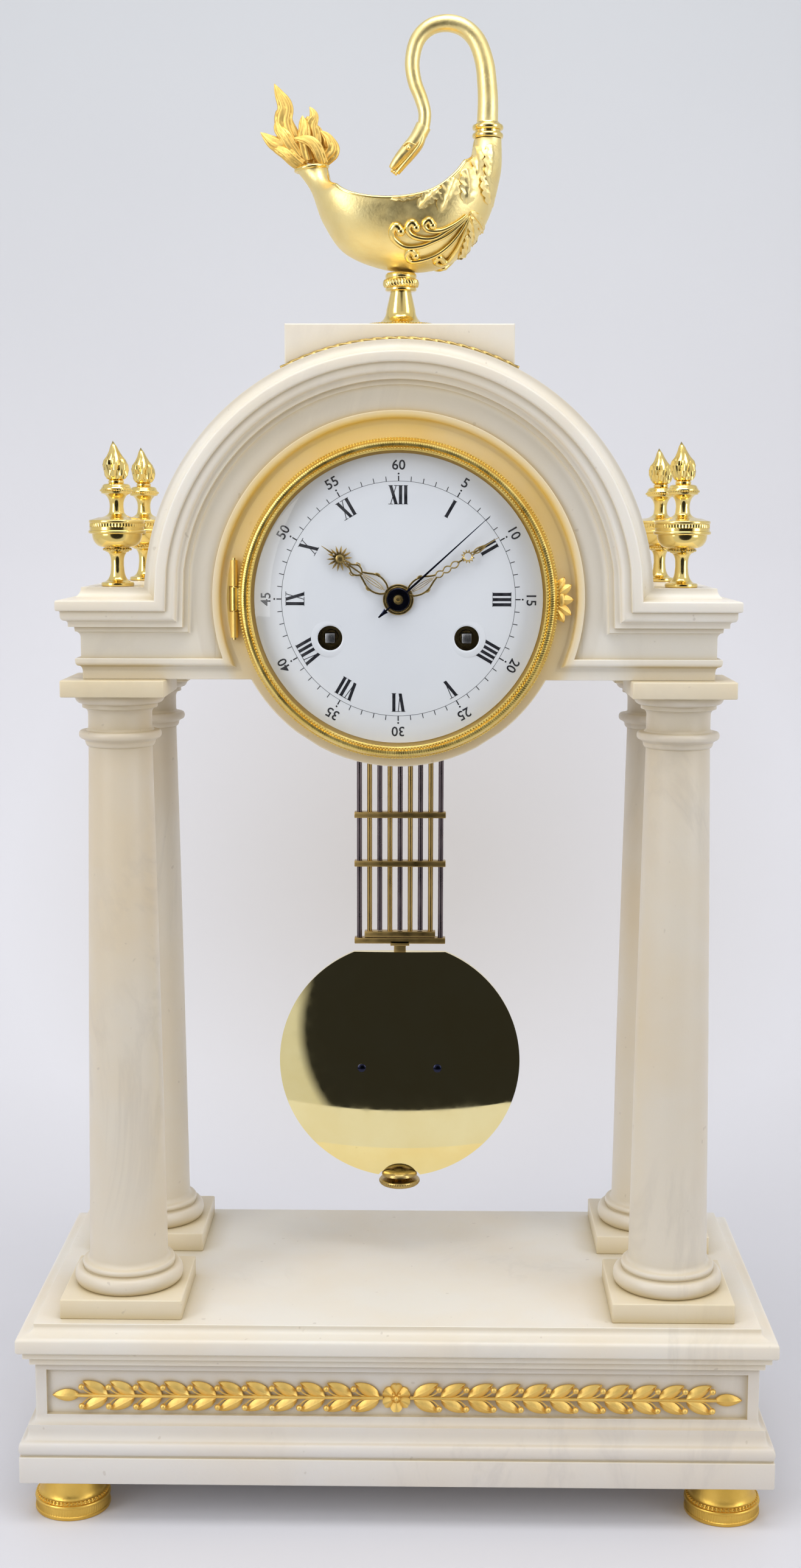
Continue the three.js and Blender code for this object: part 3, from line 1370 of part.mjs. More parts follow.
function ratingNut() {
  const dome = nutDome(0);
  const disc = [[0, 0], [nutRadius - 1.8, 0], [nutRadius, 1.2], [nutRadius, 2.8], [nutRadius - 1, 3.8]];
  const boss = [[nutBossRadius + 0.6, 5], [nutBossRadius, 5.6], [nutBossRadius, dome[0][1] - 0.4]];
  const profile = [...disc, ...boss, ...dome, [0, nutHeight]];
  const thread = rodAlongZ(0, 0, rodRadius + seatGap, 2.3, wide);
  return surface(cut(solid(upright(profile, 16)), [thread]));
}

function suspensionSpring() {
  return closed(block(-0.15, 0.15, -2.5, 2.5, -hookTopDrop + seatGap, 2.3));
}

function buildPendulum() {
  const pendulum = new THREE.Group();
  place(pendulum, 'suspension_spring', suspensionSpring(), steel);
  place(pendulum, 'gridiron_steel', gridironSteel(), steel);
  place(pendulum, 'gridiron_brass', gridironBrass(), brass);
  place(pendulum, 'pendulum_bob', pendulumBob(), polishedBrass);
  place(pendulum, 'rating_nut', ratingNut(), brass, 0, 0, -nutDrop);
  return pendulum;
}

// The whole clock

clock.add(buildBase(), buildColumns(), buildHead(), buildLamp());

const dialGroup = buildDial();
dialGroup.position.set(0, headFace, dialCentre);
const movementGroup = buildMovement();
movementGroup.position.set(0, headFace, dialCentre);
const doorGroup = new THREE.Group();
doorGroup.position.set(0, headHalfDepth, dialCentre);
place(doorGroup, 'rear_door', rearDoor(), brass);
place(doorGroup, 'rear_hinge_leaf', rearHinge(), brass);
const pendulumGroup = buildPendulum();
pendulumGroup.position.set(0, pendulumPlane, suspensionPoint);
clock.add(dialGroup, movementGroup, doorGroup, pendulumGroup);

export default clock;
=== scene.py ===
"""The marble table regulator: its fine pieces, finishes, lamps and camera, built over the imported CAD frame.

The pieces are drawn in millimetres, X to the right, Y to the back, Z up, and scaled to metres at the end."""

import functools
import json
import math

import bmesh
import bpy
from mathutils import Matrix, Vector


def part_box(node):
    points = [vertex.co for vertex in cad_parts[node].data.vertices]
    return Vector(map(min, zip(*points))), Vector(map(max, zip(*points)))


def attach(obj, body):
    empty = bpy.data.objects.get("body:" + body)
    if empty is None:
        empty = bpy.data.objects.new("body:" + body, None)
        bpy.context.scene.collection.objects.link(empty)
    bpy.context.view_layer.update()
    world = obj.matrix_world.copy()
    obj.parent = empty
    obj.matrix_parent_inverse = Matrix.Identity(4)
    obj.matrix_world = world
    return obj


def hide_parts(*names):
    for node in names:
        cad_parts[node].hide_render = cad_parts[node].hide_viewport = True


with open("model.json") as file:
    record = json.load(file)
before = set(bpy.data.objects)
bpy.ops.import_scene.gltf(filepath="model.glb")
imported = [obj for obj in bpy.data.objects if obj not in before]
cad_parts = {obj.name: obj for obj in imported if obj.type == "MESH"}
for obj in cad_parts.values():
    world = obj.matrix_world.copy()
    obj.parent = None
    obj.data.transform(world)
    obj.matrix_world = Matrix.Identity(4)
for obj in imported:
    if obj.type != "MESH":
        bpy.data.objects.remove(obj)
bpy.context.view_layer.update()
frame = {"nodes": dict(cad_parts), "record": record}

MM = 0.001
FULL_TURN = 2 * math.pi
# Points nearer than this become one
WELD = 0.002

# Levels and sizes that several pieces share

FRIEZE_HALF_X, FRIEZE_HALF_Y = 160.6, 73.4
FOOT_X, FOOT_Y = 147.2, 60
PLINTH_FOOT, PLINTH_TOP = 19.5, 31.8
GARLAND_BACK, GARLAND_LEVEL = -71.7, 57.6
FRIEZE_TOP, PORTICO_FLOOR = 73.1, 91.4
COLUMN_X, COLUMN_Y = 122.7, 41.6
COLUMN_FOOT, ABACUS_FOOT = 100.3, 368.4
COLUMN_HEIGHT = ABACUS_FOOT - COLUMN_FOOT
COLUMN_BLOCK_HALF, ABACUS_HALF = 27.15, 22.4
HEAD_FOOT, HEAD_TOP = 375.7, 415.3
HEAD_HALF_X, HEAD_HALF_Y = 136.5, 55.1
FACE = -HEAD_HALF_Y
DIAL_Z = 410.5
DIAL_CENTRE = (0, 0, DIAL_Z)
ARCH_RADIUS, CORNICE_DEPTH = 109.4, 30.3
DRUM_RADIUS, BORE_RADIUS = 72.5, 59
CROWN_HALF_X, CROWN_TOP = 49.8, 528.2
LAMP_SEAT = 553.7
DIAL_RADIUS = 61.9
PENDULUM_Y, SUSPENSION_Z = 9, 456
CORNERS = {"front_left": (-1, -1), "front_right": (1, -1), "back_left": (-1, 1), "back_right": (1, 1)}


def photo_camera():
    """The camera of the photograph: a little above the dial, a little to the right, looking down."""
    yaw, pitch, roll = 0.0143, -0.1338, 0.002
    ahead = Vector((-math.sin(yaw) * math.cos(pitch), math.cos(yaw) * math.cos(pitch), math.sin(pitch)))
    level = Vector((math.cos(yaw), math.sin(yaw), 0))
    upright = level.cross(ahead)
    right = math.cos(roll) * level + math.sin(roll) * upright
    up = -math.sin(roll) * level + math.cos(roll) * upright
    lens = bpy.data.cameras.new("photo camera")
    lens.sensor_fit = "VERTICAL"
    lens.sensor_height = 36
    lens.lens = 45.35
    lens.clip_start = 0.05
    camera = bpy.data.objects.new("photo camera", lens)
    camera.matrix_world = Matrix.Translation(Vector((13.21, -905.86, 444.96)) * MM) @ Matrix(
        (right, up, -ahead)
    ).transposed().to_4x4()
    bpy.context.scene.collection.objects.link(camera)
    bpy.context.scene.camera = camera


photo_camera()
bpy.context.scene.view_settings.view_transform = "Standard"


# Drawing tools


class Moulding:
    """An outline of (out, along) points: straight runs, hollows, rounds and beads."""

    def __init__(self, out, along):
        self.points = [(out, along)]

    def to(self, out, along):
        self.points.append((out, along))
        return self

    def quarter(self, out, along, out_first, steps):
        start_out, start_along = self.points[-1]
        out_run, along_run = out - start_out, along - start_along
        for i in range(1, steps + 1):
            turn = math.pi / 2 * i / steps
            shares = (math.sin(turn), 1 - math.cos(turn))
            out_share, along_share = shares if out_first else shares[::-1]
            self.to(start_out + out_run * out_share, start_along + along_run * along_share)
        return self

    def sideways(self, out, along, steps=6):
        """A quarter round or hollow that sets off sideways."""
        return self.quarter(out, along, True, steps)

    def lengthways(self, out, along, steps=6):
        """A quarter round or hollow that sets off along the run."""
        return self.quarter(out, along, False, steps)

    def bulge(self, out, along, proud, steps=8):
        """A half round that stands proud of the straight line to the next point."""
        start = Vector(self.points[-1])
        run = Vector((out, along)) - start
        outwards = Vector((run.y, -run.x)).normalized()
        for i in range(1, steps + 1):
            turn = math.pi * i / steps
            self.to(*(start + run * (1 - math.cos(turn)) / 2 + outwards * proud * math.sin(turn)))
        return self


def along_spline(points, share):
    """A point on the smooth curve through the given points, share from 0 to 1."""
    place = max(0, min(1, share)) * (len(points) - 1)
    i = min(int(place), len(points) - 2)
    t = place - i
    here, after = Vector(points[i]), Vector(points[i + 1])
    before = Vector(points[max(0, i - 1)])
    beyond = Vector(points[min(len(points) - 1, i + 2)])
    leaving, arriving = (after - before) / 2, (beyond - here) / 2
    cubic = (2 * here - 2 * after + leaving + arriving) * t**3
    return cubic + (-3 * here + 3 * after - 2 * leaving - arriving) * t**2 + leaving * t + here


def surface(form, across, along, place):
    """Lays a grid of faces where place(i, j) says, for i up to across and j up to along."""
    made = bmesh.ops.create_grid(form, x_segments=across, y_segments=along, size=1)
    for vert in made["verts"]:
        i = round((vert.co.x + 1) / 2 * across)
        j = round((vert.co.y + 1) / 2 * along)
        vert.co = place(i, j)


def closed_sheet(form, across, along, place):
    """An upper face, a lower one and the edges between them. place(i, j, upper) says where."""
    for upper in (True, False):
        surface(form, across, along, lambda i, j, upper=upper: place(i, j, upper))
    for end in (0, across):
        surface(form, 1, along, lambda i, j, end=end: place(end, j, i == 1))
    for end in (0, along):
        surface(form, across, 1, lambda i, j, end=end: place(i, end, j == 1))


def close_holes(form):
    bmesh.ops.remove_doubles(form, verts=form.verts, dist=WELD)
    bmesh.ops.holes_fill(form, edges=[edge for edge in form.edges if edge.is_boundary])


def turned(form, outline, steps, centre=(0, 0, 0), backwards=False, ripple=None):
    """Turns (radius, height) points round an upright axis, or round one that runs backwards."""
    centre = Vector(centre)

    def place(i, j):
        radius, height = outline[i]
        turn = FULL_TURN * (j % steps) / steps
        if ripple and radius:
            radius += ripple(i, turn)
        x, other = radius * math.sin(turn), radius * math.cos(turn)
        return centre + (Vector((x, height, other)) if backwards else Vector((x, -other, height)))

    surface(form, len(outline) - 1, steps, place)


def milled(teeth, depth, first, last):
    """A ripple for turned() that cuts teeth into the points of the outline from first to last."""

    def ripple(i, turn):
        return depth * math.cos(teeth * turn) if first <= i <= last else 0

    return ripple


def moulded_block(form, outline, half_x, half_y, centre=(0, 0)):
    """Runs an outline of (out, height) points round a rectangle with slightly eased corners."""
    corner, corner_steps = 0.7, 3
    ring = [(side, step) for side in range(4) for step in range(corner_steps + 1)]

    def place(i, j):
        out, height = outline[i]
        side, step = ring[j % len(ring)]
        turn = math.pi / 2 * (side + step / corner_steps)
        sign_x = 1 if side in (0, 3) else -1
        sign_y = 1 if side in (0, 1) else -1
        x = sign_x * (half_x + out - corner) + corner * math.cos(turn)
        y = sign_y * (half_y + out - corner) + corner * math.sin(turn)
        return Vector((centre[0] + x, centre[1] + y, height))

    surface(form, len(outline) - 1, len(ring), place)
    close_holes(form)


def eased_box(form, low, high, ease=0.25):
    """A box with its edges just broken."""
    low, high = Vector(low), Vector(high)
    scale = Matrix.Diagonal((*(high - low), 1))
    made = bmesh.ops.create_cube(form, size=1, matrix=Matrix.Translation((low + high) / 2) @ scale)
    edges = list({edge for vert in made["verts"] for edge in vert.link_edges})
    if ease:
        bmesh.ops.bevel(form, geom=edges, offset=ease, segments=2, profile=0.5, affect="EDGES", material=-1)


def between_caps(j, steps):
    """The share along a form whose first and last rows only close its ends."""
    return max(0, min(1, (j - 1) / (steps - 2)))


def across_path(path, share, reach=0.004):
    """The directions out from path(share) and to its back, both square to it."""
    tangent = (path(min(1, share + reach)) - path(max(0, share - reach))).normalized()
    out = tangent.cross(Vector((0, 1, 0))).normalized()
    return out, out.cross(tangent)


def tube(form, path, shape, sides, steps):
    """A closed tube along path(share). shape(share) gives half its width and half its breadth."""

    def place(i, j):
        share = between_caps(j, steps)
        centre = path(share)
        if j in (0, steps):
            return centre
        out, back = across_path(path, share)
        width, breadth = shape(share)
        turn = FULL_TURN * (i % sides) / sides
        return centre + out * width * math.cos(turn) + back * breadth * math.sin(turn)

    surface(form, sides, steps, place)


def spline_tube(form, points, shape, sides=10, steps=24):
    tube(form, lambda share: along_spline(points, share), shape, sides, steps)


def ball(form, centre, radius, stretch=(1, 1, 1), meridians=12, circles=8):
    """A small ball, which may be flattened along X, Y or Z."""
    centre, stretch = Vector(centre), Vector(stretch) * radius

    def place(i, j):
        turn, tilt = FULL_TURN * (i % meridians) / meridians, math.pi * j / circles
        point = Vector((math.sin(tilt) * math.cos(turn), math.sin(tilt) * math.sin(turn), math.cos(tilt)))
        return centre + point * stretch

    surface(form, meridians, circles, place)


def bead_ring(form, radius, count, size, centre, backwards=False):
    """A ring of small beads round an upright axis, or round one that runs backwards."""
    for i in range(count):
        turn = FULL_TURN * i / count
        x, other = radius * math.sin(turn), radius * math.cos(turn)
        offset = Vector((x, 0, other)) if backwards else Vector((x, -other, 0))
        ball(form, Vector(centre) + offset, size, meridians=6, circles=4)


def set_down(form, name, finish):
    """Turns a form in millimetres into a smooth object in metres."""
    bmesh.ops.scale(form, vec=(MM, MM, MM), verts=form.verts)
    for face in form.faces:
        face.smooth = True
    mesh = bpy.data.meshes.new(name)
    form.to_mesh(mesh)
    form.free()
    mesh.materials.append(finish)
    made = bpy.data.objects.new(name, mesh)
    bpy.context.scene.collection.objects.link(made)
    return made


def make_piece(form, name, body, slot, *stands_for, finish=None, crease=34):
    """Turns a form into a piece that rides on a body and stands for CAD nodes."""
    bmesh.ops.remove_doubles(form, verts=form.verts, dist=WELD)
    bmesh.ops.recalc_face_normals(form, faces=form.faces)
    piece = set_down(form, name, finish or FINISHES[slot])
    piece.data.set_sharp_from_angle(angle=math.radians(crease))
    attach(piece, body)
    if stands_for:
        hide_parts(*stands_for)
    return piece


# Finishes


class Recipe:
    """A material under construction: its node tree, its shader and short ways to add to them."""

    def __init__(self, name):
        self.material = bpy.data.materials.new(name)
        self.material.use_nodes = True
        self.tree = self.material.node_tree
        self.shader = self.tree.nodes["Principled BSDF"]
        self.place = self.add("ShaderNodeTexCoord").outputs["Object"]

    def add(self, kind, **values):
        node = self.tree.nodes.new(kind)
        for name, value in values.items():
            setattr(node, name, value)
        return node

    def link(self, source, target):
        self.tree.links.new(source, target)

    def fill(self, node, **values):
        """Sets or links inputs by name, with spaces written as underscores."""
        for name, value in values.items():
            socket = node.inputs[name.replace("_", " ")]
            if isinstance(value, bpy.types.NodeSocket):
                self.link(value, socket)
            else:
                socket.default_value = value
        return node

    def noise(self, scale, detail=4.0, roughness=0.55, distortion=0.0, stretch=(1, 1, 1)):
        mapping = self.fill(self.add("ShaderNodeMapping"), Vector=self.place, Scale=stretch)
        node = self.add("ShaderNodeTexNoise")
        self.fill(node, Vector=mapping.outputs[0], Scale=scale, Detail=detail, Roughness=roughness)
        self.fill(node, Distortion=distortion)
        return node.outputs["Fac"]

    def ramp(self, value, *stops):
        """A colour or grey for each (position, colour) stop."""
        node = self.add("ShaderNodeValToRGB")
        self.link(value, node.inputs["Fac"])
        elements = node.color_ramp.elements
        while len(elements) < len(stops):
            elements.new(0.5)
        for element, (position, colour) in zip(elements, stops):
            element.position = position
            element.color = (*colour, 1) if isinstance(colour, tuple) else (colour, colour, colour, 1)
        return node.outputs["Color"]

    def mix(self, share, first, second, blend="MIX"):
        node = self.add("ShaderNodeMixRGB", blend_type=blend)
        for socket, value in (("Fac", share), ("Color1", first), ("Color2", second)):
            if isinstance(value, bpy.types.NodeSocket):
                self.link(value, node.inputs[socket])
            else:
                node.inputs[socket].default_value = (*value, 1) if isinstance(value, tuple) else value
        return node.outputs["Color"]

    def sum(self, operation, first, second=0.0):
        node = self.add("ShaderNodeMath", operation=operation)
        for socket, value in zip(node.inputs, (first, second)):
            if isinstance(value, bpy.types.NodeSocket):
                self.link(value, socket)
            else:
                socket.default_value = value
        return node.outputs[0]

    def product(self, value, *factors):
        for factor in factors:
            value = self.sum("MULTIPLY", value, factor)
        return value

    def patches(self, scale, detail, low, high):
        """0 where the noise is under low, 1 where it is over high."""
        return self.ramp(self.noise(scale, detail), (low, 0.0), (high, 1.0))

    def bump(self, height, strength, distance):
        node = self.fill(self.add("ShaderNodeBump"), Height=height, Strength=strength, Distance=distance)
        self.link(node.outputs[0], self.shader.inputs["Normal"])

    def overlay(self, share, first, second):
        """Shows the first shader where share is 0 and the second where it is 1."""
        blend = self.add("ShaderNodeMixShader")
        for socket, source in zip(blend.inputs, (share, first.outputs[0], second.outputs[0])):
            self.link(source, socket)
        output = next(node for node in self.tree.nodes if node.type == "OUTPUT_MATERIAL")
        self.link(blend.outputs[0], output.inputs["Surface"])

    def colour(self, value):
        self.link(value, self.shader.inputs["Base Color"])

    def roughness(self, value):
        self.link(value, self.shader.inputs["Roughness"])


def marble(name, pale, warm, vein, vein_amount, head_glow=False):
    """Polished marble: pale ground, warm clouds, thin veins, a few small specks, and old wax with painted
    shade in hollows.
    """
    recipe = Recipe(name)
    ground = recipe.mix(recipe.patches(10, 4, 0.4, 0.66), pale, warm)
    wander = recipe.noise(14, 6, 0.6, 1.4, (1.0, 1.0, 0.45))
    nearness = recipe.sum("ABSOLUTE", recipe.sum("SUBTRACT", wander, 0.5))
    thread = recipe.ramp(nearness, (0.0, 1.0), (0.05, 0.0))
    veined = recipe.product(thread, recipe.patches(7, 2, 0.5, 0.68), vein_amount)
    stone = recipe.mix(veined, ground, vein)
    specks = recipe.product(recipe.patches(260, 1, 0.76, 0.8), 0.35)
    stone = recipe.mix(specks, stone, (0.42, 0.36, 0.3))
    # Painted shade: ambient occlusion darkens and warms the stone in hollows, partly as old wax and partly as
    # the shade that falls there.
    hollows = recipe.add("ShaderNodeAmbientOcclusion", samples=4)
    recipe.fill(hollows, Distance=0.012)
    wax_and_painted_shade = recipe.ramp(hollows.outputs["AO"], (0.35, 1.0), (0.95, 0.0))
    stone = recipe.mix(recipe.product(wax_and_painted_shade, 0.78), stone, (0.55, 0.44, 0.23))
    if head_glow:
        stone = recipe.mix(honey_round_bezel(recipe), stone, (0.82, 0.56, 0.13))
    recipe.colour(stone)
    recipe.roughness(recipe.ramp(recipe.noise(40, 3), (0.3, 0.3), (0.7, 0.42)))
    recipe.bump(recipe.noise(420, 3), 0.12, 0.0004)
    shader = recipe.shader
    shader.inputs["Subsurface Weight"].default_value = 0.12
    shader.inputs["Subsurface Radius"].default_value = (1.0, 0.8, 0.55)
    shader.inputs["Subsurface Scale"].default_value = 0.004
    shader.inputs["Specular IOR Level"].default_value = 0.4
    return recipe.material


def honey_round_bezel(recipe):
    """How strongly old polish has yellowed the head: most on the bead round the bezel, on the front."""
    apart = recipe.add("ShaderNodeSeparateXYZ")
    recipe.link(recipe.place, apart.inputs[0])
    up = recipe.sum("SUBTRACT", apart.outputs["Z"], DIAL_Z * MM)
    across_square = recipe.product(apart.outputs["X"], apart.outputs["X"])
    distance = recipe.sum("SQRT", recipe.sum("ADD", across_square, recipe.product(up, up)))
    at_bead = recipe.ramp(
        recipe.product(distance, 8.0),
        (0.55, 0.85), (0.585, 1.0), (0.615, 0.95), (0.635, 0.45), (0.65, 0.1), (0.78, 0.0),
    )
    height = recipe.ramp(recipe.sum("ADD", recipe.product(up, 6.0), 0.5), (0.1, 0.35), (0.8, 1.0))
    forward = recipe.ramp(recipe.product(apart.outputs["Y"], -10.0), (0.52, 0.0), (0.56, 1.0))
    patchy = recipe.ramp(recipe.noise(22, 4), (0.3, 0.7), (0.6, 1.0))
    return recipe.product(at_bead, forward, height, patchy)


def metal(name, bright, deep, roughness, grain=0.0, wear_scale=60.0):
    """A metal whose colour deepens in patches, with fine scuffs in its gloss and a faint grain."""
    recipe = Recipe(name)
    recipe.colour(recipe.mix(recipe.patches(wear_scale, 4, 0.3, 0.7), bright, deep))
    low, high = roughness
    recipe.roughness(recipe.ramp(recipe.noise(wear_scale * 3, 5), (0.3, low), (0.72, high)))
    recipe.shader.inputs["Metallic"].default_value = 1.0
    if grain:
        recipe.bump(recipe.noise(900, 2), grain, 0.0003)
    return recipe.material


def enamel():
    recipe = Recipe("white enamel")
    cast = recipe.ramp(recipe.noise(18, 2), (0.35, (0.84, 0.86, 0.92)), (0.7, (0.88, 0.9, 0.95)))
    recipe.colour(cast)
    recipe.roughness(recipe.ramp(recipe.noise(60, 2), (0.3, 0.06), (0.7, 0.1)))
    recipe.bump(recipe.noise(70, 2), 0.05, 0.0004)
    recipe.shader.inputs["Coat Weight"].default_value = 0.4
    return recipe.material


def clear_glass():
    """Thin clear glass: it mirrors by Fresnel and lets the rest straight through."""
    recipe = Recipe("clear glass")
    recipe.tree.nodes.remove(recipe.shader)
    clear = recipe.fill(recipe.add("ShaderNodeBsdfTransparent"), Color=(0.98, 0.985, 0.985, 1))
    mirror = recipe.add("ShaderNodeBsdfGlossy")
    recipe.link(recipe.ramp(recipe.noise(90, 3), (0.4, 0.015), (0.75, 0.05)), mirror.inputs["Roughness"])
    edge = recipe.fill(recipe.add("ShaderNodeFresnel"), IOR=1.46)
    outside = recipe.sum("SUBTRACT", 1.0, recipe.add("ShaderNodeNewGeometry").outputs["Backfacing"])
    recipe.overlay(recipe.product(edge.outputs[0], outside), clear, mirror)
    return recipe.material


def black_print():
    recipe = Recipe("fired black print")
    recipe.colour(recipe.ramp(recipe.noise(400, 2), (0.3, (0.012, 0.012, 0.016)), (0.7, (0.04, 0.04, 0.05))))
    recipe.shader.inputs["Roughness"].default_value = 0.25
    return recipe.material


FINISHES = {
    "marble_white": marble("white marble", (0.78, 0.745, 0.675), (0.78, 0.7, 0.575), (0.44, 0.4, 0.35), 0.22),
    "marble_ivory": marble("ivory marble", (0.76, 0.675, 0.52), (0.72, 0.61, 0.41), (0.48, 0.42, 0.34), 0.2),
    "gilt_matte": metal("matte gilding", (0.92, 0.67, 0.22), (0.82, 0.55, 0.15), (0.44, 0.58), 0.25),
    "gilt_bright": metal("burnished gilding", (0.96, 0.76, 0.3), (0.92, 0.69, 0.22), (0.1, 0.2)),
    "brass": metal("clock brass", (0.55, 0.41, 0.16), (0.44, 0.31, 0.11), (0.22, 0.38), 0.08),
    "brass_polished": metal("mirror brass", (0.96, 0.84, 0.44), (0.93, 0.79, 0.38), (0.02, 0.07)),
    "steel_dark": metal("dark steel", (0.13, 0.13, 0.15), (0.07, 0.07, 0.085), (0.25, 0.42), 0.06),
    "enamel": enamel(),
    "glass_clear": clear_glass(),
    "bell_metal": metal("bell metal", (0.62, 0.58, 0.5), (0.52, 0.48, 0.4), (0.25, 0.4), 0.08),
}
HEAD_MARBLE = marble(
    "white marble of the head", (0.82, 0.785, 0.72), (0.8, 0.73, 0.61), (0.5, 0.46, 0.42), 0.15,
    head_glow=True,
)
# The columns' veined marble is darker than the rest: painted shade for the columns standing under the head.
SHADED_COLUMN_MARBLE = marble(
    "veined marble of the columns, darkened as painted shade", (0.7, 0.64, 0.54), (0.69, 0.59, 0.44), (0.42, 0.38, 0.34), 0.26
)
PLINTH_MARBLE = marble(
    "grey white marble", (0.69, 0.66, 0.62), (0.68, 0.62, 0.54), (0.46, 0.43, 0.41), 0.25
)
LAMP_GILT = metal("pale matte gilding", (1.0, 0.85, 0.42), (0.96, 0.76, 0.32), (0.34, 0.48), 0.25)
BEZEL_GILT = metal("chased gilding", (0.96, 0.75, 0.25), (0.87, 0.63, 0.16), (0.26, 0.4), 0.2)
FOOT_GILT = metal("worn gilding", (0.84, 0.56, 0.13), (0.7, 0.44, 0.08), (0.32, 0.48), 0.2)
AGED_BRASS = metal("aged brass", (0.5, 0.35, 0.13), (0.36, 0.24, 0.08), (0.26, 0.42), 0.08)
ROD_STEEL = metal("browned steel", (0.17, 0.14, 0.15), (0.1, 0.08, 0.09), (0.22, 0.4), 0.06)
SQUARE_STEEL = metal("bright steel", (0.6, 0.6, 0.62), (0.46, 0.46, 0.48), (0.2, 0.34), 0.06)
OLD_GILT_CORD = metal("old gilt cord", (0.62, 0.45, 0.16), (0.4, 0.28, 0.1), (0.3, 0.5), 0.1, 150.0)
BLUED_STEEL = metal("blued steel", (0.02, 0.025, 0.06), (0.03, 0.03, 0.05), (0.16, 0.3))
HAND_GILT = metal("gilt of the hands", (0.55, 0.4, 0.15), (0.32, 0.22, 0.08), (0.22, 0.4), 0.15, 200.0)
BLACK_PRINT = black_print()


# Base


def base_plinth():
    form = bmesh.new()
    outline = Moulding(6.2, PLINTH_FOOT).sideways(6.8, PLINTH_FOOT + 0.6, 3)
    outline.to(6.8, PLINTH_TOP - 0.6).lengthways(6.2, PLINTH_TOP, 3)
    moulded_block(form, outline.points, FRIEZE_HALF_X, FRIEZE_HALF_Y)
    make_piece(form, "base_plinth_stone", "case", "marble_ivory", "base_plinth", finish=PLINTH_MARBLE)


def frieze_block():
    form = bmesh.new()
    foot = PLINTH_TOP
    outline = Moulding(5.8, foot).to(5.8, foot + 0.6).bulge(5.8, foot + 6.5, 1.1)
    outline.to(5.2, foot + 6.7).sideways(3, foot + 10.8, 8).to(3, foot + 13.5)
    outline.sideways(0, foot + 17.2, 5).to(0, FRIEZE_TOP)
    moulded_block(form, outline.points, FRIEZE_HALF_X, FRIEZE_HALF_Y)
    recess_panel(form, half_width=155.6, low=49, high=69.8, depth=2)
    make_piece(form, "frieze_stone", "case", "marble_white", "frieze_block", finish=PLINTH_MARBLE)


def recess_panel(form, half_width, low, high, depth):
    """Sinks a long panel into the upper front face of the block."""
    front = min(form.faces, key=lambda face: face.calc_center_median().y - face.calc_area() * 0.001)
    bmesh.ops.inset_individual(form, faces=[front], thickness=0.1)
    middle = (low + high) / 2
    for vert in front.verts:
        vert.co.x = math.copysign(half_width, vert.co.x)
        vert.co.z = high if vert.co.z > middle else low
    sunk = bmesh.ops.extrude_face_region(form, geom=[front])
    inner = [item for item in sunk["geom"] if isinstance(item, bmesh.types.BMVert)]
    bmesh.ops.translate(form, verts=inner, vec=(0, depth, 0))
    bmesh.ops.delete(form, geom=[front], context="FACES_ONLY")


def base_top_slab():
    form = bmesh.new()
    foot = FRIEZE_TOP
    outline = Moulding(2.2, foot).to(2.2, foot + 3.4).to(4.7, foot + 3.6).to(4.7, foot + 6.2)
    outline.sideways(7.3, foot + 7.6, 4).to(7.3, PORTICO_FLOOR - 6.2).lengthways(5.8, PORTICO_FLOOR - 4.5, 5)
    outline.sideways(0.3, PORTICO_FLOOR - 1.3, 10).to(0.3, PORTICO_FLOOR - 0.2).to(0.1, PORTICO_FLOOR)
    moulded_block(form, outline.points, FRIEZE_HALF_X, FRIEZE_HALF_Y)
    make_piece(form, "base_top_stone", "case", "marble_white", "base_top_slab")


def foot(name, x, y):
    """A gilt drum foot with a milled band, a plain round and a ring of beads."""
    form = bmesh.new()
    outline = Moulding(0, 0).to(16.2, 0).sideways(16.9, 0.5, 3).to(16.9, 1.5).to(16.5, 1.8)
    first_milled = len(outline.points)
    outline.to(16.5, 2).to(16.5, 5)
    last_milled = len(outline.points) - 1
    outline.to(16.5, 5.2).bulge(16.5, 6.7, 0.5, 6).to(16, 6.9).to(15.5, 8.2).sideways(13.9, 12.4, 6)
    outline.to(13.6, 15).to(13.6, PLINTH_FOOT).to(0, PLINTH_FOOT)
    teeth = 84
    milling = milled(teeth, 0.16, first_milled, last_milled)
    turned(form, outline.points, teeth * 3, (x, y, 0), ripple=milling)
    bead_ring(form, 15.8, 54, 0.75, (x, y, 7.6))
    make_piece(form, f"drum_foot_{name}", "case", "gilt_matte", f"foot_{name}", finish=FOOT_GILT)


def leaf_blade(form, place, length, width, rise, curl=0.0):
    """A pointed leaf with a midrib and a turned-up edge. place(across, along, proud) sets it down."""
    rows, columns, sunk = 10, 8, 0.35

    def put(i, j, upper):
        share, side = j / rows, 2 * i / columns - 1
        half = width / 2 * max(0.02, math.sin(math.pi * share**0.85) ** 0.8)
        if not upper:
            return place(half * side, length * share, -sunk)
        rib = 0.32 * max(0, 1 - abs(side) * 5)
        edge = 0.22 * max(0, abs(side) - 0.7) / 0.3
        proud = rise * (1 - side * side) * math.sin(math.pi * min(1, share + 0.08)) ** 0.5
        return place(half * side, length * share, proud + rib * rise * 0.4 + edge + curl * share * share)

    closed_sheet(form, columns, rows, put)


def leaf_seat(root_x, y, root_z, slope, side=1, reach=math.inf):
    """A place for a leaf on an upright front: its root, its slope from level and the edge it may reach."""

    def place(across, along, proud):
        x = root_x + along * math.cos(slope) - across * math.sin(slope)
        z = root_z + along * math.sin(slope) + across * math.cos(slope)
        return Vector((side * min(x, reach), y - proud, z))

    return place


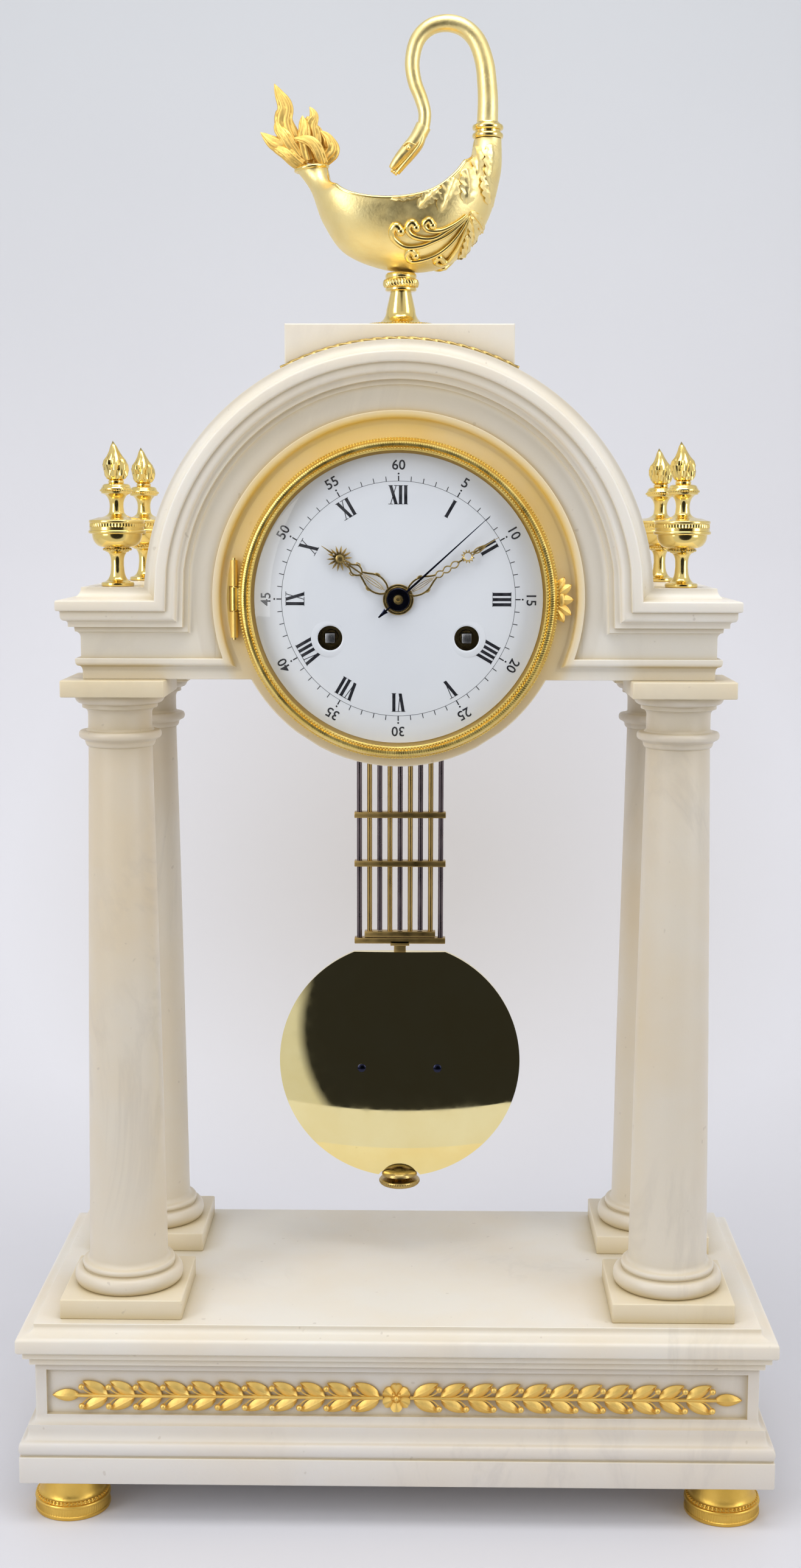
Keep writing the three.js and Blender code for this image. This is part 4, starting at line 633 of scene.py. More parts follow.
def laurel_garland(name, side):
    """Leaf pairs with berries along a thin stem, from the rosette outwards."""
    form = bmesh.new()
    back, level = GARLAND_BACK, GARLAND_LEVEL
    start, pitch, pairs, slope = 7.3, 12.1, 11, 0.5
    end = start + pitch * pairs + 3.6
    stem = [(side * 6, back - 0.9, level), (side * end, back - 0.9, level)]
    spline_tube(form, stem, lambda share: (0.8, 0.9), 8, 4)
    for pair in range(pairs):
        root = start + 0.2 + pair * pitch
        for climb in (-1, 1):
            seat = leaf_seat(root, back - 0.6, level + 0.5 * climb, slope * climb, side)
            leaf_blade(form, seat, 12.6, 5.5, 1.5, curl=0.3)
            berry_x = root + pitch - 0.6
            ball(form, (side * berry_x, back - 2.2, level + 4.5 * climb), 1.4)
            stalk = [
                (side * (berry_x - 7), back - 0.8, level + 0.4 * climb),
                (side * (berry_x - 3), back - 1.1, level + 1.3 * climb),
                (side * berry_x, back - 1.6, level + 3.8 * climb),
            ]
            spline_tube(form, stalk, lambda share: (0.35, 0.35), 6, 8)
    leaf_blade(form, leaf_seat(end - 3, back - 0.6, level, 0, side), 12.2, 5.6, 1.5)
    make_piece(form, f"laurel_branch_{name}", "case", "gilt_matte", f"laurel_garland_{name}")


def frieze_rosette():
    form = bmesh.new()
    back, level = GARLAND_BACK, GARLAND_LEVEL
    petals, size, rings = 6, 6.6, 9
    steps = petals * 16

    def petal(i, j):
        share = i / rings
        turn = FULL_TURN * (j % steps) / steps
        lobe = abs(math.cos(petals / 2 * turn))
        notch = 0.06 * math.exp(-((((petals * turn / FULL_TURN) % 1 + 0.5) % 1 - 0.5) / 0.09) ** 2)
        radius = share * size * (0.8 + 0.2 * lobe**0.6 - notch)
        cup = 0.7 + 1.1 * share**2 * lobe
        cup += 0.5 * math.sin(math.pi * share) * lobe**3
        cup -= 0.5 * (1 - lobe) * share
        return Vector((radius * math.sin(turn), back - cup, level + radius * math.cos(turn)))

    def rim(i, j):
        edge = petal(rings, j)
        return edge if i else Vector((edge.x, back + 0.2, edge.z))

    surface(form, rings, steps, petal)
    surface(form, 1, steps, rim)
    close_holes(form)
    ball(form, (0, back - 1.7, level), 1.25)
    bead_ring(form, 2.3, 12, 0.42, (0, back - 1.2, level), backwards=True)
    make_piece(form, "six_petal_rosette", "case", "gilt_matte", "frieze_rosette")


def build_base():
    base_plinth()
    frieze_block()
    base_top_slab()
    for name, (side_x, side_y) in CORNERS.items():
        foot(name, side_x * FOOT_X, side_y * FOOT_Y)
    laurel_garland("left", -1)
    laurel_garland("right", 1)
    frieze_rosette()


# Columns


def column(name, x, y):
    """A smooth tapering shaft on a torus base, with a necking ring and a rounded capital."""
    form = bmesh.new()
    top = COLUMN_HEIGHT
    shaft_foot, shaft_top = 17.4, 14
    outline = Moulding(0, 0).to(22.3, 0).bulge(22.3, 7.2, 2.2, 12).to(20.5, 7.3).to(20.2, 7.7)
    outline.bulge(20.1, 10.4, 0.8, 6).to(19.4, 10.6).sideways(shaft_foot + 0.3, 13, 5)
    for share in (0.15, 0.3, 0.45, 0.6, 0.75, 0.9):
        radius = shaft_foot + (shaft_top - shaft_foot) * share**1.35
        outline.to(radius, 13 + (top - 24 - 13) * share)
    outline.to(shaft_top, top - 23).sideways(shaft_top + 1.4, top - 20.5, 4).to(shaft_top + 1.6, top - 20.3)
    outline.to(shaft_top + 3, top - 19.4).bulge(shaft_top + 3, top - 16, 1.1, 8).to(shaft_top + 1, top - 15.8)
    outline.to(shaft_top, top - 14.8).to(shaft_top, top - 8.4).lengthways(16.3, top - 5.9, 5)
    outline.to(16.5, top - 5.7).to(16.5, top - 4.1).to(17.2, top - 3.9).sideways(19.6, top - 0.7, 8)
    outline.to(19.6, top).to(0, top)
    turned(form, outline.points, 96, (x, y, COLUMN_FOOT))
    make_piece(form, f"turned_column_{name}", "case", "marble_white", f"column_{name}", finish=SHADED_COLUMN_MARBLE)


def square_slab(name, node, x, y, half, low, high):
    """A square marble block over or under a column, its edges just rounded."""
    form = bmesh.new()
    outline = Moulding(-0.5, low).sideways(0, low + 0.5, 3).to(0, high - 0.5).lengthways(-0.5, high, 3)
    moulded_block(form, outline.points, half, half, (x, y))
    make_piece(form, name, "case", "marble_ivory", node)


def build_columns():
    for name, (side_x, side_y) in CORNERS.items():
        x, y = side_x * COLUMN_X, side_y * COLUMN_Y
        square_slab(
            f"column_block_{name}", f"column_plinth_{name}", x, y,
            COLUMN_BLOCK_HALF, PORTICO_FLOOR, COLUMN_FOOT,
        )
        column(name, x, y)
        square_slab(f"abacus_block_{name}", f"abacus_{name}", x, y, ABACUS_HALF, ABACUS_FOOT, HEAD_FOOT)


# Arched head


def over_dial(radius, turn, y):
    return Vector((radius * math.sin(turn), y, DIAL_Z + radius * math.cos(turn)))


def head_reach(turn):
    """How far the plain head reaches from the dial's centre at that turn from twelve o'clock."""
    x, z = abs(math.sin(turn)), math.cos(turn)
    under_skin = 0.08
    wing_top, wing_foot = HEAD_TOP - DIAL_Z - under_skin, DIAL_Z - HEAD_FOOT
    if z > 0:
        to_wing = min(wing_top / z, HEAD_HALF_X / x if x else math.inf)
        return max(ARCH_RADIUS - under_skin, to_wing)
    to_wing = min(wing_foot / -z if z else math.inf, HEAD_HALF_X / x)
    return max(DRUM_RADIUS, to_wing)


def head_stations(slot_half, slot_steps):
    """Outer and inner turns round the head: down its right side, across the slot and up its left side."""
    outer_slot, inner_slot = math.asin(slot_half / DRUM_RADIUS), math.asin(slot_half / BORE_RADIUS)
    wing_turns = [
        math.atan2(HEAD_HALF_X, HEAD_TOP - DIAL_Z),
        math.atan2(ARCH_RADIUS, HEAD_TOP - DIAL_Z),
        math.atan2(HEAD_HALF_X, HEAD_FOOT - DIAL_Z),
        math.pi - math.acos((DIAL_Z - HEAD_FOOT) / DRUM_RADIUS),
    ]
    half_round = {math.radians(2.5 * i) for i in range(61)} | set(wing_turns)
    right = [(turn, turn) for turn in sorted(half_round) if turn < math.pi - inner_slot - 0.02]
    slot = []
    for i in range(slot_steps + 1):
        share = 1 - 2 * i / slot_steps
        slot.append((math.pi - outer_slot * share, math.pi - inner_slot * share))
    left = [(FULL_TURN - outer, FULL_TURN - inner) for outer, inner in reversed(right)]
    return right, slot, left


def head_core(form):
    """The pierced block behind the mouldings, with the slot through which the pendulum hangs."""
    slot_half, slot_front, slot_back, slot_steps = 34, 2.5, 15.5, 12
    right, slot, left = head_stations(slot_half, slot_steps)
    turns = right + slot + left
    first, last = len(right), len(right) + slot_steps

    def ring(i, j):
        outer_turn, inner_turn = turns[j]
        reach = head_reach(outer_turn)
        places = [
            over_dial(BORE_RADIUS, inner_turn, FACE), over_dial(reach - 0.5, outer_turn, FACE),
            over_dial(reach, outer_turn, FACE + 0.5), over_dial(reach, outer_turn, slot_front),
            over_dial(reach, outer_turn, slot_back), over_dial(reach, outer_turn, -FACE - 0.5),
            over_dial(reach - 0.5, outer_turn, -FACE), over_dial(BORE_RADIUS, inner_turn, -FACE),
            over_dial(BORE_RADIUS, inner_turn, slot_back), over_dial(BORE_RADIUS, inner_turn, slot_front),
        ]
        return places[i % len(places)]

    surface(form, 10, len(turns) - 1, ring)
    bmesh.ops.remove_doubles(form, verts=form.verts, dist=WELD)
    middle = (slot_front + slot_back) / 2
    opened = []
    for face in form.faces:
        centre = face.calc_center_median()
        if abs(centre.y - middle) < 1 and abs(centre.x) < slot_half and centre.z < DIAL_Z:
            opened.append(face)
    bmesh.ops.delete(form, geom=opened, context="FACES")

    def in_slot(outside, station, y):
        outer_turn, inner_turn = turns[station]
        return over_dial(DRUM_RADIUS, outer_turn, y) if outside else over_dial(BORE_RADIUS, inner_turn, y)

    for wall in (slot_front, slot_back):
        surface(form, 1, slot_steps, lambda i, j, wall=wall: in_slot(i, first + j, wall))
    for end in (first, last):
        surface(form, 1, 1, lambda i, j, end=end: in_slot(i, end, slot_back if j else slot_front))


def swept_along_head(form, outline, mitre, arc, turns):
    """Runs a moulding from the back of one wing to its front, up over the arch and down again."""
    inner, skin = outline[-1][1], 5
    section = [*outline, (-skin, inner), (-skin, outline[0][1])]

    def wing(side, back, out, inwards):
        return Vector((side * (HEAD_HALF_X + out), HEAD_HALF_Y if back else FACE - out, HEAD_TOP - inwards))

    def at_mitre(side, out, inwards):
        x, z = mitre(side, inwards)
        return Vector((x, FACE - out, z))

    def on_arc(turn, out, inwards):
        return over_dial(arc(inwards), turn, FACE - out)

    partial = functools.partial
    left = [partial(wing, -1, True), partial(wing, -1, False), partial(at_mitre, -1)]
    right = [partial(at_mitre, 1), partial(wing, 1, False), partial(wing, 1, True)]
    stations = left + [partial(on_arc, turn) for turn in turns] + right
    surface(form, len(section), len(stations) - 1, lambda i, j: stations[j](*section[i % len(section)]))
    close_holes(form)


def even_turns(limit, step):
    count = round(2 * limit / step)
    return [math.radians(i * step - limit) for i in range(count + 1)]


def arch_head():
    form = bmesh.new()
    cornice = Moulding(0, 0).lengthways(4.1, 4.7, 8).to(9, 5.3).sideways(9.8, 6.2, 4).to(9.8, 9)
    cornice.lengthways(9, 9.9, 3).to(8, 10.1).to(8, 12.1).lengthways(6.4, 14.1, 5).sideways(5.1, 15.4, 4)
    cornice.to(5.1, 16.8).to(2.8, 17).to(2.6, 18.9).sideways(0.5, 21.4, 6).to(0.5, CORNICE_DEPTH)
    bead = Moulding(0.5, CORNICE_DEPTH).to(2.5, 30.4).to(2.7, 30.7).to(2.7, 31.9).lengthways(1.3, 33.7, 5)
    bead.sideways(0, 35.9, 5)
    swept_along_head(
        form, cornice.points,
        lambda side, inwards: (side * (ARCH_RADIUS - inwards), HEAD_TOP - inwards),
        lambda inwards: ARCH_RADIUS - inwards,
        even_turns(82.5, 2.5),
    )

    bead_edge = 79.9

    def bead_radius(inwards):
        return bead_edge - (inwards - CORNICE_DEPTH)

    def bead_meeting(side, inwards):
        drop = DIAL_Z - HEAD_TOP + inwards
        return side * math.sqrt(bead_radius(inwards) ** 2 - drop**2), HEAD_TOP - inwards

    swept_along_head(form, bead.points, bead_meeting, bead_radius, even_turns(105, 2.5))
    head_core(form)
    frieze_band(form)
    make_piece(form, "arched_head_stone", "case", "marble_white", "arch_head", finish=HEAD_MARBLE, crease=30)


def frieze_band(form):
    """The flat between the cornice and the bead, closed in the two corners under the arch."""
    inner, outer, front, back = 78.6, 87.6, FACE - 0.44, FACE + 5
    drop = DIAL_Z - (HEAD_TOP - CORNICE_DEPTH)
    steps = 60

    def place(i, j):
        radius, y = [(inner, back), (inner, front), (outer, front), (outer, back)][i % 4]
        limit = math.pi - math.acos(drop / radius)
        return over_dial(radius, limit * (2 * j / steps - 1), y)

    surface(form, 4, steps, place)
    close_holes(form)


def crown_block():
    """The block on top of the arch, hollowed underneath to sit on its curve."""
    form = bmesh.new()
    half_x, half_y, seat = CROWN_HALF_X, 35, ARCH_RADIUS + 0.3
    reach = math.asin(half_x / seat)
    steps, ease = 24, 0.5
    sections = [(-half_y, ease), (-half_y + ease, 0), (half_y - ease, 0), (half_y, ease)]

    def outline(j, less):
        if j <= steps:
            turn = reach * (2 * j / steps - 1)
            point = over_dial(seat, turn, 0)
            return max(-half_x + less, min(half_x - less, point.x)), point.z
        return [(half_x - less, CROWN_TOP - less), (-half_x + less, CROWN_TOP - less)][j - steps - 1]

    count = steps + 3

    def place(i, j):
        y, less = sections[i]
        x, z = outline(j % count, less)
        return Vector((x, y, z))

    surface(form, len(sections) - 1, count, place)
    close_holes(form)
    make_piece(form, "crown_stone", "case", "marble_ivory", "crown_block", finish=FINISHES["marble_white"])


def rope_trim():
    """A twisted gilt cord along the foot of the crown block."""
    form = bmesh.new()
    radius, y, size = ARCH_RADIUS + 1.55, -36.55, 1.25
    reach = math.asin((CROWN_HALF_X + 1.5) / radius)
    strands, turns, sides, steps = 3, 20, 18, 420

    def place(i, j):
        share = between_caps(j, steps)
        turn = reach * (2 * share - 1)
        if j in (0, steps):
            return over_dial(radius, turn, y)
        round_cord = FULL_TURN * (i % sides) / sides
        twist = strands * round_cord + FULL_TURN * turns * share
        size_here = size * (0.62 + 0.38 * abs(math.cos(twist / 2)))
        out, back = size_here * math.cos(round_cord), size_here * math.sin(round_cord)
        return over_dial(radius + out, turn, y + back)

    surface(form, sides, steps, place)
    make_piece(form, "gilt_rope_trim", "case", "gilt_matte", "rope_trim", finish=OLD_GILT_CORD, crease=80)


def flame_bulb(form, outline, centre, tongues, twist, depth, lean=(0, 0)):
    """A flame of twisted tongues on a turned outline that may lean to one side."""
    foot, height = outline[0][1], outline[-1][1] - outline[0][1]
    lean = Vector((*lean, 0))
    steps = tongues * 8

    def place(i, j):
        radius, level = outline[i]
        share = (level - foot) / height
        turn = FULL_TURN * (j % steps) / steps
        wave = abs(math.sin(tongues * (turn - twist * share) / 2)) ** 0.7
        radius *= 1 - depth * (1 - wave) * math.sin(math.pi * min(1, share * 1.3 + 0.1))
        offset = lean * share * share
        return Vector(centre) + offset + Vector((radius * math.sin(turn), -radius * math.cos(turn), level))

    surface(form, len(outline) - 1, steps, place)


def urn(name, x, y):
    """A burnished cup on a waisted stem, with a lidded neck and a small flame."""
    form = bmesh.new()
    outline = Moulding(0, 0).to(6.8, 0).bulge(6.8, 1.7, 0.35, 4).to(6.2, 1.9).sideways(2.9, 7.8, 10)
    outline.to(2.75, 9).to(2.8, 10.8).lengthways(5, 15, 8).to(5.2, 15.2).to(5.4, 16.8).to(6, 16.9)
    outline.sideways(10.8, 22.6, 14).to(11.8, 22.8).bulge(11.8, 24.3, 0.6, 6).to(11.8, 24.5).to(11.8, 25.6)
    first_milled = len(outline.points)
    outline.to(11.6, 25.8).to(11.6, 27)
    last_milled = len(outline.points) - 1
    outline.to(11.6, 27.2).bulge(11.6, 28.7, 0.5, 6).to(10.9, 28.8).to(8, 29.7).sideways(3.2, 32.6, 8)
    outline.to(3, 34.2).to(3, 35).lengthways(6.4, 40, 8).to(6.6, 40.4).to(6.6, 42.2).to(6.1, 42.8)
    outline.lengthways(4.4, 44.2, 4).to(3.1, 44.4).bulge(3.1, 45.7, 0.35, 4).to(2.4, 45.8)
    teeth = 60
    milling = milled(teeth, 0.16, first_milled, last_milled)
    base = (x, y, HEAD_TOP)
    turned(form, outline.points, teeth * 3, base, ripple=milling)
    bead_ring(form, 5.7, 26, 0.62, (x, y, HEAD_TOP + 16))
    bead_ring(form, 6.7, 40, 0.5, (x, y, HEAD_TOP + 41.3))
    flame = [
        (0, 45.5), (2.6, 45.6), (4.1, 46.3), (5.1, 47.7), (5.7, 50), (5.7, 52.3),
        (5, 54.3), (3.5, 56), (2.3, 58.1), (1.4, 60.3), (0, 62.6),
    ]
    flame_bulb(form, flame, base, tongues=7, twist=1.6, depth=0.5, lean=(-1.2, 0))
    close_holes(form)
    make_piece(form, f"flaming_urn_{name}", "case", "gilt_bright", f"urn_{name}")


def build_head():
    arch_head()
    crown_block()
    rope_trim()
    for name, (side_x, side_y) in CORNERS.items():
        urn(name, side_x * COLUMN_X, side_y * COLUMN_Y)


# Lamp with the swan's-neck handle, drawn from its seat

KEEL = [
    (-46.5, 44.1), (-40, 35.2), (-34.4, 20.8), (-23.6, 7.4), (-1, 0.3),
    (21, 3.2), (37, 19.6), (44, 41.8), (44.4, 57.6),
]
RIM = [
    (-33, 46), (-30.4, 38), (-24, 32.2), (-12, 29.3), (2, 29.4),
    (14.6, 32.6), (24.2, 39.8), (30.2, 49), (32.6, 57.6),
]
NECK = [
    (38.1, 63.9), (38.3, 73.5), (37.8, 81.9), (36.6, 90.6), (33.2, 99.6), (27.4, 105.2), (19.8, 107.1),
    (12.2, 105.2), (6.8, 99.4), (4.8, 90.4), (6, 82), (8.6, 75.4), (10.4, 68.8), (9.8, 62),
]
UPPER_JAW = [(9.9, 63.4), (7, 58), (2.8, 53.2), (-1.4, 48.6), (-4.2, 45)]
LOWER_JAW = [(9.9, 61), (8.4, 55.4), (4.8, 50.6), (1.2, 46.6), (-1.8, 43.2)]
LAMP_HALF_BREADTH, LAMP_WALL = 23.5, 1.6


def on_lamp(x, y, z):
    return Vector((x, y, LAMP_SEAT + z))


def openness(share):
    return min(1, 2.6 * max(0, math.sin(math.pi * share)) ** 1.5)


def bowl_point(share, turn, inset=0.0):
    """A point of the lamp's shell. Turn 0 is the keel, and a turn to either side climbs to the rim."""
    low, high = along_spline(KEEL, share), along_spline(RIM, share)
    depth = (low - high).length
    down = (low - high) / depth
    opened = openness(share)
    below = depth * (0.5 + 0.5 * opened)
    above = depth - below
    middle = high + down * above
    breadth = depth / 2 + (LAMP_HALF_BREADTH - depth / 2) * opened * max(0, math.sin(math.pi * share)) ** 0.6
    fall = math.cos(turn)
    reach = (below if fall > 0 else above) * fall
    across = breadth * math.sin(turn)
    if inset:
        reach *= max(0, 1 - inset / below)
        across *= max(0, 1 - inset / breadth)
    return on_lamp(middle.x + down.x * reach, across, middle.y + down.y * reach)


def rim_turn(share):
    return math.pi * (1 - 0.5 * openness(share))


def lamp_foot():
    form = bmesh.new()
    outline = Moulding(0, 0).to(16, 0).sideways(16.8, 0.6, 3).to(16.8, 1.5).lengthways(16.2, 2, 3)
    outline.to(12.6, 2.7).sideways(6.5, 9, 10).to(4.7, 16.8).to(4.7, 17.2)
    outline.to(6.6, 17.4).bulge(6.6, 18.8, 0.4, 4).to(7, 18.9)
    first_rope = len(outline.points)
    outline.bulge(7, 22.5, 0.95, 10)
    last_rope = len(outline.points) - 2
    outline.to(6.6, 22.7).bulge(6.6, 24.9, 0.4, 4).to(6.3, 25.2).to(0, 25.2)
    strands = 30

    def roping(i, turn):
        if not first_rope <= i <= last_rope:
            return 0
        return 0.5 * (abs(math.sin(strands * turn / 2 + i * 0.45)) - 0.75)

    turned(form, outline.points, strands * 8, (0, 0, CROWN_TOP), ripple=roping)
    bead_ring(form, 14.9, 64, 0.6, (0, 0, CROWN_TOP + 2.3))
    make_piece(form, "lamp_stem", "case", "gilt_bright", "lamp_foot")


def lamp_bowl():
    """The open shell of the lamp, closed round at the spout and at the neck."""
    form = bmesh.new()
    round_steps, stations = 36, 64

    def place(i, j):
        share = between_caps(j, stations)
        centre_low, centre_high = along_spline(KEEL, share), along_spline(RIM, share)
        centre = (centre_low + centre_high) / 2
        if j in (0, stations):
            return on_lamp(centre.x, 0, centre.y)
        limit = rim_turn(share)
        k = i % (2 * round_steps + 2)
        if k <= round_steps:
            return bowl_point(share, limit * (2 * k / round_steps - 1))
        if j in (1, stations - 1):
            return on_lamp(centre.x, 0, centre.y)
        return bowl_point(share, limit * (1 - 2 * (k - round_steps - 1) / round_steps), LAMP_WALL)

    surface(form, 2 * round_steps + 2, stations, place)
    make_piece(form, "lamp_shell", "case", "gilt_matte", "lamp_bowl", finish=LAMP_GILT, crease=50)


def lamp_mounts():
    """The bright lip round the mouth of the lamp, the ring of its spout and the ringed collar of the neck."""
    form = bmesh.new()
    steps = 96
    for side in (-1, 1):

        def lip(share, side=side):
            share = 0.012 + 0.976 * share
            return bowl_point(share, side * rim_turn(share), 0.75)

        tube(form, lip, lambda share: (0.95, 0.95), 8, steps)
    low, high = along_spline(KEEL, 0), along_spline(RIM, 0)
    centre, radius = (low + high) / 2, (low - high).length / 2
    lean = math.atan2(high.y - low.y, high.x - low.x)
    ring_steps, wire_sides = 48, 10

    def ring(i, j):
        turn = FULL_TURN * (j % ring_steps) / ring_steps
        round_wire = FULL_TURN * (i % wire_sides) / wire_sides
        reach = radius + 0.2 + 0.9 * math.cos(round_wire)
        x, y, z = reach * math.cos(turn), reach * math.sin(turn), 0.9 * math.sin(round_wire)
        return on_lamp(
            centre.x + x * math.cos(lean) - z * math.sin(lean), y,
            centre.y + x * math.sin(lean) + z * math.cos(lean),
        )

    surface(form, wire_sides, ring_steps, ring)
    collar = Moulding(0, 57.9).to(6.2, 57.9).bulge(6.2, 60.2, 0.7, 6).to(5.7, 60.4).to(5.7, 61.3)
    collar.to(6.2, 61.5).bulge(6.2, 63.8, 0.7, 6).to(5.4, 64.1).to(5, 64.9).to(0, 64.9)
    turned(form, collar.points, 48, on_lamp(38.35, 0, 0))
    make_piece(form, "lamp_lip_and_collar", "case", "gilt_bright", crease=60)


@functools.cache
def on_flank(x, z):
    """The share and turn of the shell's near flank that show at (x, z) in the side view."""
    share, turn, nudge = 0.6, -0.9, 0.002
    for _ in range(9):
        here = bowl_point(share, turn)
        across, up = x - here.x, LAMP_SEAT + z - here.z
        along = (bowl_point(share + nudge, turn) - here) / nudge
        round_shell = (bowl_point(share, turn + nudge) - here) / nudge
        area = along.x * round_shell.z - along.z * round_shell.x
        if abs(area) < 1:
            break
        step = (across * round_shell.z - up * round_shell.x) / area
        swing = (along.x * up - along.z * across) / area
        share = max(0.03, min(0.97, share + max(-0.2, min(0.2, step))))
        turn = max(-rim_turn(share), min(-0.05, turn + max(-0.5, min(0.5, swing))))
    return share, turn


def both_flanks(form):
    """Repeats what lies on the near flank on the far one."""
    twins = bmesh.ops.duplicate(form, geom=[*form.verts, *form.edges, *form.faces])
    verts = [item for item in twins["geom"] if isinstance(item, bmesh.types.BMVert)]
    bmesh.ops.scale(form, vec=(1, -1, 1), verts=verts)


WING_SCROLLS = [
    (
        [
            (0.2, 15.4), (-1.7, 17.5), (-3.6, 15.6), (-2.6, 12.3),
            (2.2, 9.4), (9.2, 9.8), (16, 12.3), (29.2, 22.4),
        ], 1.45,
    ),
    (
        [
            (6.9, 16.9), (5.2, 18.9), (3.2, 17), (4.6, 14.2),
            (9.3, 12.7), (14.8, 13.1), (20.8, 16.4), (29, 22.6),
        ], 1.35,
    ),
    ([(14, 17.9), (12.4, 20), (10.4, 18.2), (12, 16), (17.2, 15.9), (22.6, 18.2), (28.8, 22.8)], 1.25),
    ([(6.6, 6.2), (4.7, 8.3), (2.9, 6.3), (5.2, 4.2), (13.6, 5.8), (20.8, 10.2), (26, 16), (29.4, 22)], 1.25),
    ([(19.4, 4.4), (17, 5.9), (15.2, 3.9), (18.8, 3.6), (24, 8.6), (27.4, 15), (29.6, 21.4)], 1.1),
]
ACANTHUS = [
    ([(10, 31), (2, 29.2), (-4.6, 28.6)], 3.4), ([(17.6, 33.6), (12.6, 29.6), (7.4, 24.4)], 7),
    ([(23.6, 37.6), (20.8, 31), (17.2, 22.4)], 9), ([(28.8, 42), (29.8, 34.4), (28.2, 26.6)], 8.6),
    ([(33.4, 54), (33.4, 46), (33.2, 38.4)], 6), ([(39.6, 54.6), (39.2, 47), (38.6, 38.2)], 7),
    ([(36.4, 40), (38, 33.6), (39.4, 27.6)], 6.4), ([(30.6, 24), (34.2, 21), (37, 17.4)], 4.6),
    ([(30.2, 22.6), (31.8, 16.6), (31.4, 11)], 4.4), ([(29.6, 15), (28.6, 9.6), (25.6, 4.6)], 3.6),
]


def wing_scrolls():
    """Five burnished scrolls that fan out like a wing on each flank of the lamp."""
    form = bmesh.new()
    for points, size in WING_SCROLLS:
        marks = [on_flank(x, z) for x, z in points]

        def path(share, marks=marks):
            return bowl_point(*along_spline(marks, share), -0.9)

        def shape(share, size=1.35 * size):
            return size * (1 - 0.62 * share), 0.9 * size * (1 - 0.55 * share)

        tube(form, path, shape, 12, 60)
        ball(form, path(0), size * 1.5)
    both_flanks(form)
    make_piece(form, "wing_scrolls", "case", "gilt_bright", crease=60)


def acanthus_leaf(form, points, width):
    """A leaf with a notched edge, a midrib and furrows, laid on the near flank."""
    lobes, rows, columns, sunk = 4.5, 18, 8, 0.4

    def place(i, j, upper):
        share, side = j / rows, 2 * i / columns - 1
        centre = along_spline(points, share)
        ahead = along_spline(points, min(1, share + 0.02)) - along_spline(points, max(0, share - 0.02))
        ahead.normalize()
        notch = 0.68 + 0.32 * abs(math.sin(lobes * math.pi * share))
        half = width / 2 * max(0.05, math.sin(math.pi * share**0.8)) ** 0.6 * notch
        spot = centre + Vector((-ahead.y, ahead.x)) * half * side
        furrow = 0.3 * abs(math.sin(lobes * math.pi * (share + 0.12 * abs(side))))
        rib = 0.9 * max(0, 1 - 4 * abs(side))
        proud = (0.8 + 1.9 * furrow + rib) * math.sin(math.pi * min(1, share + 0.1)) ** 0.5
        return bowl_point(*on_flank(round(spot.x, 3), round(spot.y, 3)), -proud if upper else sunk)

    closed_sheet(form, columns, rows, place)


def lamp_leaves():
    """Acanthus leaves along the rim, under the collar and down the back of the lamp."""
    form = bmesh.new()
    for points, width in ACANTHUS:
        acanthus_leaf(form, points, width)
    both_flanks(form)
    make_piece(form, "acanthus_leaves", "case", "gilt_matte", finish=LAMP_GILT, crease=60)


def swan_handle():
    """The arched neck and the swan's head that looks down into the lamp."""
    form = bmesh.new()

    def neck_shape(share):
        radius = 4.7 - 2 * share**0.9
        return radius, radius

    spline_tube(form, [on_lamp(x, 0, z) for x, z in NECK], neck_shape, 28, 100)
    spline_tube(
        form, [on_lamp(x, 0, z) for x, z in UPPER_JAW],
        lambda share: (3.5 - 2 * share**2.2, 3.1 + 0.8 * math.sin(math.pi * share) - 1.6 * share**2), 24, 40,
    )
    spline_tube(
        form, [on_lamp(x, 0, z) for x, z in LOWER_JAW],
        lambda share: (1.7 - 0.5 * share, 2.7 + 0.7 * math.sin(math.pi * share) - 1.3 * share**2), 20, 40,
    )
    for side in (-1, 1):
        ball(form, on_lamp(3.2, side * 3.6, 53.4), 1.05, meridians=16, circles=10)
        brow = [on_lamp(1, side * 3.1, 54.5), on_lamp(3.2, side * 3.5, 55.8), on_lamp(6.4, side * 3.2, 54.6)]
        spline_tube(form, brow, lambda share: (0.42, 0.42), 8, 14)
        for share in (0.1, 0.4, 0.7):
            tip = on_lamp(-4.4 + 3 * share, side * 0.9, 44.4 - 2.2 * share)
            ball(form, tip, 0.62)
    make_piece(form, "swan_neck_and_head", "case", "gilt_matte", "swan_handle", finish=LAMP_GILT, crease=50)


def flame_tongue(form, points, size):
    """A streaming tongue of flame with deep furrows that wind a little along it."""
    flat, ribs, steps = 0.62, 6, 40
    sides = ribs * 6
    marks = [on_lamp(*point) for point in points]

    def path(share):
        return along_spline(marks, share)

    def place(i, j):
        share = between_caps(j, steps)
        centre = path(share)
        if j in (0, steps):
            return centre
        out, back = across_path(path, share, 0.01)
        turn = FULL_TURN * (i % sides) / sides
        ripple = 1 + 0.16 * math.sin(9 * share + 2 * size) * math.cos(turn)
        width = max(0.3, size * (0.72 + 0.5 * share) * math.cos(math.pi / 2 * share**1.5)) * ripple
        furrow = 0.66 + 0.34 * abs(math.sin(ribs * turn / 2 + 2.6 * share)) ** 0.8
        return centre + (out * math.cos(turn) + back * math.sin(turn) * flat) * width * furrow

    surface(form, sides, steps, place)


